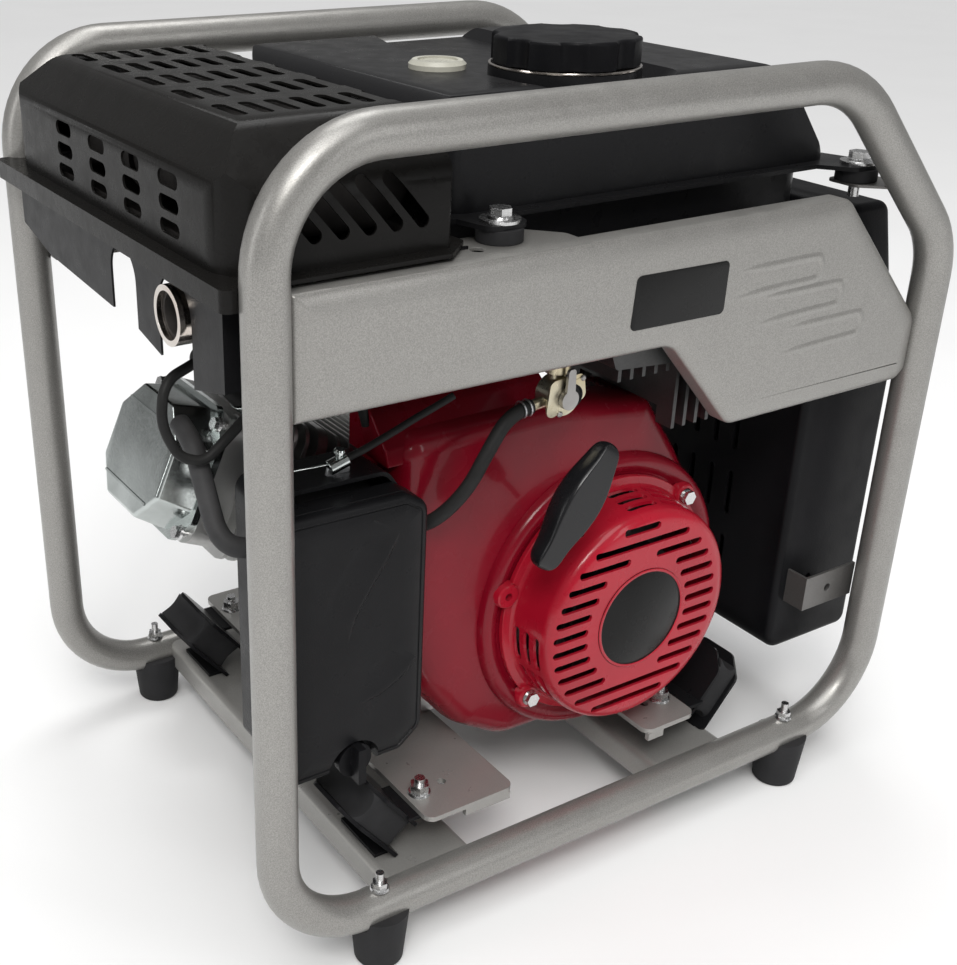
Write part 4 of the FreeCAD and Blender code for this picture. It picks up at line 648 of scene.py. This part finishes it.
def tube_obj(name, pts, r, slot, body, repl=None, order=3):
    cu = bpy.data.curves.new(name, "CURVE")
    cu.dimensions = "3D"
    sp = cu.splines.new("NURBS")
    sp.points.add(len(pts) - 1)
    for i, p in enumerate(pts):
        v = P(*p)
        sp.points[i].co = (v.x, v.y, v.z, 1.0)
    sp.order_u = order
    sp.use_endpoint_u = True
    sp.resolution_u = 24
    cu.bevel_depth = r / 1000.0
    cu.bevel_resolution = 8
    cu.use_fill_caps = True
    o = bpy.data.objects.new(name, cu)
    bpy.context.scene.collection.objects.link(o)
    cu.materials.append(M[slot])
    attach(o, body)
    if repl:
        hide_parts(repl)
    return o


# ------------------------------------------------------------ side panels --
PO = [(14.6, 457), (454, 457), (548.4, 356), (548.4, 314), (540, 307), (362, 307), (300, 377), (14.6, 381)]
PR = [1, 16, 16, 9, 9, 14, 22, 1]
BEAD = [(-3.6, 0.0), (-2.8, 0.12), (-1.9, 0.42), (-0.9, 0.72), (0, 0.82), (0.9, 0.72), (1.9, 0.42), (2.8, 0.12), (3.6, 0.0)]
HAIRPINS = [[(xa, zt), ((xa + xr) / 2, zt), (xr, zt), (xr + 5.6, zt - 2.3), (xr + 8, zt - 8), (xr + 5.6, zt - 13.7), (xr, zt - 16), ((xa + xr) / 2, zt - 16.8), (xb, zt - 18.6)]
            for xa, xb, xr, zt in ((352, 350, 424, 420.4), (378, 372, 449, 398), (406, 398, 476, 371.5))]


def side_panel(name, node, far):
    Y = (lambda y: HOOP_W - y) if far else (lambda y: y)
    L = lambda inset, y: loop_xz(PO, PR, inset, Y(y), 8)
    outer = [L(0.0, 12.0), L(0.0, -0.8), L(0.5, -2.2), L(1.8, -3.4), L(4.0, -4.4), L(7.0, -5.1), L(10.0, -5.55), L(13.0, -5.85), L(15.5, -6.0)]
    inner = [L(13.0, -3.9), L(4.5, -2.6), L(2.4, -1.2), L(2.0, 0.4), L(2.0, 12.0)]
    me = skin(name, inner + outer, angle=40.0)
    o = add_obj(name, me, "panel_paint", "frame", node)
    fl = prism_me(name + "_seat", [(40, Y(-2)), (225, Y(-2)), (225, Y(24)), (205, Y(46)), (60, Y(46)), (40, Y(30))], [1, 1, 8, 10, 10, 8], 455.0, 456.9)
    fl = cut(fl, *[rod_me("t", (x, Y(y), 450), (x, Y(y), 462), r) for x, y, r in ((154, 20, 5.0), (178, 31, 4.4), (130, 28, 3.1))])
    add_obj(name + "_seat", fl, "panel_paint", "frame", None, 0.35)
    for k, hp in enumerate(HAIRPINS):
        b_ = ribbon("%s_bead_%d" % (name, k), hp, BEAD, Y(-5.98), 1.0 if far else -1.0, 0.6, 0.10)
        add_obj("%s_bead_%d" % (name, k), b_, "panel_paint", "frame")
    return o


side_panel("side_panel_near_pressed", "side_panel_near", False)
side_panel("side_panel_far_pressed", "side_panel_far", True)
DONE.update(("side_panel_near", "side_panel_far"))
LBL = [(260.5, 431.2), (340.9, 430.2), (340.5, 393.8), (258.2, 395.0)]
lb = opoly(LBL, 0.0)
me = skin("panel_plate", [[P(x, -5.7, z) for x, z in rpoly(lb, [4] * 4)], [P(x, -6.25, z) for x, z in rpoly(lb, [4] * 4)],
                          [P(x, -6.4, z) for x, z in rpoly(opoly(lb, 0.5), [3.5] * 4)]])
add_obj("blank_label_plate", me, "label_black", "frame")

# ---------------------------------------------------------- recoil details --
me = lathe("badge", [(0, 0.6), (36.5, 0.55), (37.2, 0.15), (38.4, 0.15), (39.0, 0.75), (40.4, 0.75), (41.0, 0.2), (41.0, -0.8), (0, -0.8)], (316, 12.9, 155), (0, -1, 0), 128, close=False)
add_obj("recoil_badge_disc", me, "label_black", "frame")
me = lathe("badge_rim", [(38.6, 0.72), (39.1, 1.0), (40.3, 1.0), (40.8, 0.5), (40.8, -0.3), (38.6, -0.3)], (316, 12.9, 155), (0, -1, 0), 128)
add_obj("recoil_badge_rim", me, "red_paint", "frame")

# ----------------------------------------------- recoil cover, cut by slots
def join_me(name, parts):
    bm = bmesh.new()
    for p in parts:
        bm.from_mesh(p)
    me = bpy.data.meshes.new(name)
    bm.to_mesh(me)
    bm.free()
    return me


def stad(x0, x1, z, h, y0, y1):
    return prism_me("s", [(316 + x0, 155 + z - h / 2), (316 + x1, 155 + z - h / 2), (316 + x1, 155 + z + h / 2), (316 + x0, 155 + z + h / 2)], [h * 0.47] * 4, y0, y1, "xz", 5)


def side_slot(phi, y, length, h, r0, r1):
    f = math.radians(phi)
    n_, t_ = Vector((math.cos(f), 0, math.sin(f))), Vector((-math.sin(f), 0, math.cos(f)))
    rp = rpoly([(-length / 2, -h / 2), (length / 2, -h / 2), (length / 2, h / 2), (-length / 2, h / 2)], [h * 0.47] * 4, 5)
    lo = []
    for r in (r0, r1):
        lp = []
        for a_, b_ in rp:
            q_ = Vector((316, 0, 155)) + n_ * r + t_ * a_
            lp.append(P(q_.x, y + b_, q_.z))
        lo.append(lp)
    return skin("s", lo)


cutters = []
for k in range(13):
    z = 75.8 - 12.1 * k
    xl, xr = -3.5 - math.sqrt(78.5 ** 2 - z * z), -3.5 + math.sqrt(77.0 ** 2 - z * z)
    if abs(z) > 54 or k == 12:
        cutters.append(stad(xl, xr, z, 5.9, 6, 22))
    else:
        ri = 54.0 if abs(z) > 36 else 51.0
        xi = math.sqrt(max(ri * ri - z * z, 1.0))
        cutters.append(stad(xl, -xi, z, 5.9, 6, 22))
        cutters.append(stad(max(xi - 7, 6), xr, z, 5.9, 6, 22))
for phi, ln in ((188, 29), (209.5, 25), (89, 28), (68.5, 24)):
    for y in (26.5, 37.0, 47.5):
        cutters.append(side_slot(phi, y, ln, 6.0, 83.5, 99.5))
prof = [(0, 44.5), (76, 44.5), (80.5, 43.9), (84, 42.2), (86.6, 39.0), (87.8, 34.5), (89.6, 8.5), (90.4, 6.2), (92.2, 4.6), (95, 4.2), (97.6, 3.9), (98, 3.3), (98, 0), (91.2, 0), (89.0, 2.2), (87.0, 8.5),
        (85.2, 34.0), (83.6, 38.0), (81.0, 40.9), (77, 42.1), (0, 42.2)]
me = lathe("recoil_shell", prof, (316, 57.5, 155), (0, -1, 0), 144, close=False, angle=35.0)
bmx = bmesh.new()
bmx.from_mesh(me)
bmesh.ops.remove_doubles(bmx, verts=bmx.verts, dist=1e-7)
bmx.to_mesh(me)
bmx.free()
me = cut(me, join_me("cutters", cutters))
add_obj("recoil_cover_slotted", me, "red_paint", "frame", "recoil_cover", 0.55, 2, 40.0)
DONE.add("recoil_cover")
for k, (r_, a_, hole) in enumerate(((98, -136, 0), (98, -46, 0), (98, 44, 0), (100.5, 164, 1))):
    f = math.radians(a_)
    lx, lz = 316 + r_ * math.cos(f), 155 + r_ * math.sin(f)
    pf = [(3.1, 7.4), (8.2, 7.4), (9.2, 6.6), (9.8, 5.0), (10.6, 0.2), (3.1, 0.2)] if hole else [(3.3, 7.4), (8.2, 7.4), (9.2, 6.6), (9.8, 5.0), (10.6, 0.2), (3.3, 0.2)]
    add_obj("recoil_lug_%d" % k, lathe("lug", pf, (lx, 57.5, lz), (0, -1, 0), 48), "red_paint", "frame")
    if hole:
        # near-black disc a little way down the open lug hole: painted shade in the hole
        add_obj("recoil_lug_insert", lathe("ins", [(0, 3.0), (3.0, 3.0), (3.0, 0.5), (0, 0.5)], (lx, 57.5, lz), (0, -1, 0), 32, close=False), "hole_shade_black", "frame")

# valve: diamond mounting plate with a dark recess behind the lever
vd, vn = Vector((0.62, 0.785)), Vector((-0.785, 0.62))
vc = Vector((244.0, 342.0))
DM = [tuple(vc + vd * 20), tuple(vc + vn * 9.5), tuple(vc - vd * 20), tuple(vc - vn * 9.5)]
me = prism_me("vplate", DM, [4.5, 7, 4.5, 7], 28.2, 29.6, "xz")
add_obj("fuel_valve_plate", me, "valve_metal", "frame", None, 0.35)
me = lathe("vrec", [(0, 0.5), (6.8, 0.5), (7.6, 1.2), (8.4, 1.2), (8.6, 0.4), (8.6, -0.4), (0, -0.4)], (vc.x, 28.0, vc.y), (0, -1, 0), 48, close=False)
add_obj("fuel_valve_recess", me, "black_steel", "frame")
for k, t_ in enumerate((14.5, -14.5)):
    q_ = vc + vd * t_
    add_obj("fuel_valve_rivet_%d" % k, lathe("vr", [(0, 1.0), (1.4, 0.9), (2.1, 0.3), (2.1, -0.4), (0, -0.4)], (q_.x, 28.1, q_.y), (0, -1, 0), 24, close=False), "forged_steel", "frame")

# starter grip: a lofted rubber hold with a flat, bright front and a ribbed neck
hc = Vector((232.0, 2.0, 274.0))
ax = Vector((51.0, 0.0, 75.0)).normalized()
side_v = Vector((0, 1, 0)).cross(ax).normalized()
ST = [(-48.5, 0.8, 0.6), (-47.8, 5.0, 4.0), (-45.5, 8.0, 7.0), (-41, 9.6, 9.0), (-35, 9.9, 9.4), (-29, 10.2, 9.8), (-21, 12.2, 10.6), (-12, 14.8, 11.4),
      (-2, 16.6, 11.8), (8, 16.8, 11.8), (18, 15.4, 11.2), (27, 12.8, 10.4), (35, 10.2, 9.4), (41, 9.0, 8.6), (45.2, 7.4, 7.0), (47.8, 4.6, 4.0), (48.5, 0.8, 0.6)]
loops = []
for t, wv, dv in ST:
    lp = []
    for i in range(40):
        th = 2 * math.pi * i / 40
        c_, s_ = math.cos(th), math.sin(th)
        e = 2.0 / 3.6
        a_ = math.copysign(abs(c_) ** e, c_) * wv
        b_ = math.copysign(abs(s_) ** e, s_) * dv
        if b_ < 0:
            b_ = max(b_, -dv * 0.74)
        q_ = hc + ax * t + side_v * a_ + Vector((0, 1, 0)) * b_
        lp.append(P(q_.x, q_.y, q_.z))
    loops.append(lp)
me = skin("grip", loops, angle=50.0)
add_obj("starter_grip", me, "handle_rubber", "pull_handle", "starter_handle", sub=1)
sd = Vector((262 - 232, 26 - 2, 233 - 274))
Ls = sd.length
prof = [(0, 4)]
for k in range(9):
    h = 8 + k * 2.6
    r_ = 10.0 - k * 0.45
    prof += [(r_, h), (r_, h + 1.5), (r_ - 1.0, h + 1.8), (r_ - 1.0, h + 2.4)]
prof += [(5.6, 32.4), (4.8, 34.5), (2.1, 35.5), (2.0, Ls * 0.97), (0, Ls * 0.97)]
me = lathe("neck", prof, (232, 2, 274), sd, 40, close=False)
add_obj("starter_grip_neck", me, "handle_rubber", "pull_handle")
DONE.add("starter_handle")

# --------------------------------------------------------- blower housing --
cx_, cz_ = 316.0, 155.0
BH = [(cx_ - 22, 40), (cx_ + 62, 62), (cx_ + 115, 128), (cx_ + 115, 190), (cx_ + 76, 256), (356, 307), (270, 322), (108, 322), (108, 314), (147, 312), (147, 160),
      (166, 108), (192, 66), (232, 42)]
BR = [50, 40, 40, 40, 30, 16, 30, 3, 2, 12, 30, 30, 40, 40]
DUCT = [(108, 322), (270, 322), (250, 300), (150, 300), (147, 312), (108, 312)]
BM = [(cx_ - 22, 40), (cx_ + 62, 62), (cx_ + 115, 128), (cx_ + 115, 190), (cx_ + 76, 256), (356, 307), (270, 321), (131, 321), (131, 170), (158, 112), (190, 68), (232, 42)]
BMR = [50, 40, 40, 40, 30, 18, 40, 20, 40, 40, 40, 40]
L = lambda inset, y: loop_xz(BM, BMR, inset, y, 9)
me = skin("blower", [L(2.0, 112.0), L(2.0, 70.0), L(16.0, 67.2), L(16.5, 64.0)][:0] + [L(2.2, 112.0), L(2.2, 90.0), L(4.0, 80.0), L(9.0, 73.0), L(18.0, 68.0)] +
          [L(16.5, 63.6), L(12.0, 64.2), L(8.0, 66.0), L(4.8, 69.0), L(2.4, 73.2), L(0.9, 78.5), L(0.0, 85.0), L(0.0, 112.0)], close=True, angle=40.0)
bh_wall = add_obj("blower_wall", me, "red_gloss", "frame", "blower_housing")
me = skin("blower_face", [L(18.0, 66.0), L(16.0, 66.0), L(16.0, 63.62), L(24.0, 62.9), L(30.0, 62.6)], angle=40.0)
me = cut(me, rod_me("t", (cx_, 50, cz_), (cx_, 80, cz_), 92, 128))
add_obj("blower_face", me, "red_gloss", "frame")
# rolled lip that rings the starter, then falls to the face
me = lathe("lip", [(91, -5.5), (91, 3.6), (92.5, 4.6), (99.2, 4.7), (100.2, 4.9), (102.5, 7.0), (106, 8.4), (110.0, 8.0), (113.0, 5.4), (114.6, 1.6), (114.8, -4.5)], (cx_, 63.0, cz_), (0, -1, 0), 160, angle=50.0)
add_obj("blower_lip", me, "red_gloss", "frame")
RF = [(67.5, 300.0), (71.0, 312.0), (88.0, 330.0), (106.0, 342.0), (118.0, 347.0), (118.0, 300.0)]
me = skin("blower_roof", [[P(x, y, z) for y, z in rpoly(RF, [2, 6, 20, 12, 3, 2], 4)] for x in (124.0, 125.2, 255.0, 268.0)], angle=40.0)
add_obj("blower_roof", me, "red_gloss", "frame", None, 1.2, 3)
DONE.add("blower_housing")

# --------------------------------------------------------- air cleaner cover
AC = [(24, 101), (114, 101), (132, 116), (132, 290), (116, 300), (24, 302)]
AR = [8, 10, 14, 12, 12, 8]
L = lambda inset, y: loop_xz(AC, AR, inset, y, 8)
me = skin("ac_cover", [L(0.6, 52.0), L(0.0, 51.4), L(0.0, 37.0), L(0.5, 36.6), L(0.5, 35.9), L(0.0, 35.5), L(0.0, 33.0), L(0.5, 31.2), L(1.6, 29.9), L(3.2, 29.2), L(5.0, 28.9),
                       L(5.4, 29.5), L(6.2, 29.5), L(6.6, 28.8), L(9.0, 28.1), L(12.5, 27.5), L(16.5, 27.15), L(20.0, 27.0)], angle=24.0)
me = cut(me, rod_me("t", (76, 20, 104), (76, 40, 104), 19.6, 96), rod_me("t2", (76, 20, 108), (76, 60, 108), 4.6, 32))
add_obj("air_cleaner_sculpted_cover", me, "dark_plastic", "frame", "air_cleaner_cover", 0.35)
me = ribbon("sweep_a", ((108.0, 277), (98.8, 262.8), (83.6, 240.3), (73.4, 223.0), (68.4, 204.0)), [(-26, 0.0), (-20, 0.15), (-13, 0.62), (-6, 1.35), (-1.5, 1.9), (0, 1.95), (1.0, 1.55), (2.2, 0.5), (3.2, 0.0)], 27.02, -1.0, 0.5, 0.35)
add_obj("air_cleaner_sweep_a", me, "dark_plastic", "frame")
me = ribbon("sweep_b", ((122.5, 177.5), (117.0, 171.8), (106.3, 164.4), (91.9, 157.6), (77.5, 154.3)), [(-24, 0.0), (-18, 0.15), (-11, 0.62), (-5, 1.35), (-1.5, 1.9), (0, 1.95), (1.0, 1.55), (2.2, 0.5), (3.2, 0.0)], 27.02, -1.0, 0.5, 0.35)
add_obj("air_cleaner_sweep_b", me, "dark_plastic", "frame")
DONE.add("air_cleaner_cover")

# ------------------------------------------------------ tank neck, hoses ---
me = lathe("neck_ring", [(47.0, 0.1), (50.6, 0.1), (51.3, 0.6), (51.3, 1.3), (50.4, 1.9), (47.0, 1.9)], (290, 115, 541.5), (0, 0, 1), 128)
add_obj("filler_neck_ring", me, "chrome_rim", "frame")
tube_obj("breather_hose_moulded", [(9, 142, 331), (9, 122, 326), (8, 106, 301), (4.5, 75.5, 267), (24.4, 74.5, 266)], 7.0, "hose_grey", "frame", "breather_hose")
tube_obj("fuel_hose_bent", [(217.8, 38.0, 336.7), (200, 38.0, 334.9), (182, 36, 312), (168, 38, 286), (149, 47, 264), (140.5, 66, 253), (140, 87, 247), (127, 107, 245), (96.5, 110, 245)], 5.0, "hose_rubber", "frame", "fuel_hose")
DONE.update(("breather_hose", "fuel_hose"))
# dark sheet inside the muffler guard, under its top: painted shade, so the guard's slots look dark instead of letting
# light through
TR = [(-7, 23), (129, 23), (129, 363), (-7, 363)]
L = lambda inset, z: [P(x, y, z) for x, y in rpoly(opoly(TR, inset), [14] * 4)]
me = skin("liner_shade_sheet", [L(3.0, 464.6), L(1.4, 466.0), L(1.0, 471.0), L(0.0, 471.0), L(0.2, 465.0), L(2.2, 463.4), L(6.0, 463.2)], angle=50.0)
add_obj("guard_shade_liner", me, "black_steel", "frame", mats=["muffler_dark"])
# throttle cable: clamp on the carburettor side, sleeve up behind the panel
tube_obj("throttle_cable_sleeve", [(87, 62, 318.5), (98, 61.5, 321), (113.2, 61, 326.5), (127, 60.5, 331.5), (138.7, 60, 336.2), (152, 59, 341), (168, 57.5, 347.5)], 2.5, "hose_rubber", "frame")
tube_obj("throttle_cable_wire", [(84, 62, 317.2), (70, 62, 317.6), (54, 62, 318.6), (38, 63, 319.0)], 0.7, "bright_steel", "frame")
me = lathe("clampb", [(0, -7.0), (4.4, -7.0), (5.0, -6.5), (5.0, 6.5), (4.4, 7.0), (0, 7.0)], (82.2, 62.0, 316.6), (0.93, -0.05, 0.30), 40, close=False)
add_obj("cable_clamp_barrel", me, "bright_steel", "frame")
me = lathe("clamps", [(0, 0), (2.5, 0), (2.5, 6.4), (3.9, 6.6), (3.9, 8.2), (3.0, 9.4), (0, 9.7)], (82.2, 62.0, 318.0), (0.1, -0.15, 1), 24, close=False)
add_obj("cable_clamp_screw", me, "bright_steel", "frame")
me = prism_me("clampt", [(74, 308.4), (92, 308.4), (92, 312.5), (88, 316), (76, 315)], [1, 1, 1, 1, 1], 63, 65.5, "xz")
add_obj("cable_clamp_tongue", me, "zinc_steel", "frame", None, 0.4)
# spring clips where the hose meets the valve
for k, (hx, hz) in enumerate(((214.5, 336.3), (209.5, 335.8))):
    me = lathe("clip", [(5.3, -0.55), (6.3, -0.55), (6.3, 0.55), (5.3, 0.55)], (hx, 38, hz), (1, 0, 0.1), 40)
    add_obj("hose_clip_%d" % k, me, "zinc_steel", "frame", None, 0.2)

# --------------------------------------------- every piece not built above
BEV = {"m6_fasteners": 0.35, "m8_fasteners": 0.5, "rubber_feet": 1.2, "flywheel": 0.4, "cylinder": 0.5, "cylinder_head": 0.8,
       "side_panel_near": 0.5, "side_panel_far": 0.5, "muffler_guard": 0.35, "muffler_shroud": 0.3, "alternator_cover": 0.0}
BIG = {"muffler_guard": (6.0, 30.0, lambda c: c.z > 463.5),
       "fuel_tank": (7.0, 60.0, lambda c: c.z > 471),
       "control_box": (5.0, 60.0, lambda c: True)}
for n in sorted(NODES):
    if n not in DONE:
        refine(n, BEV.get(n, 0.6), mat={"muffler": "muffler_dark", "panel_brackets": "bracket_steel", "fuel_valve_lever": "forged_steel"}.get(n), big=BIG.get(n))
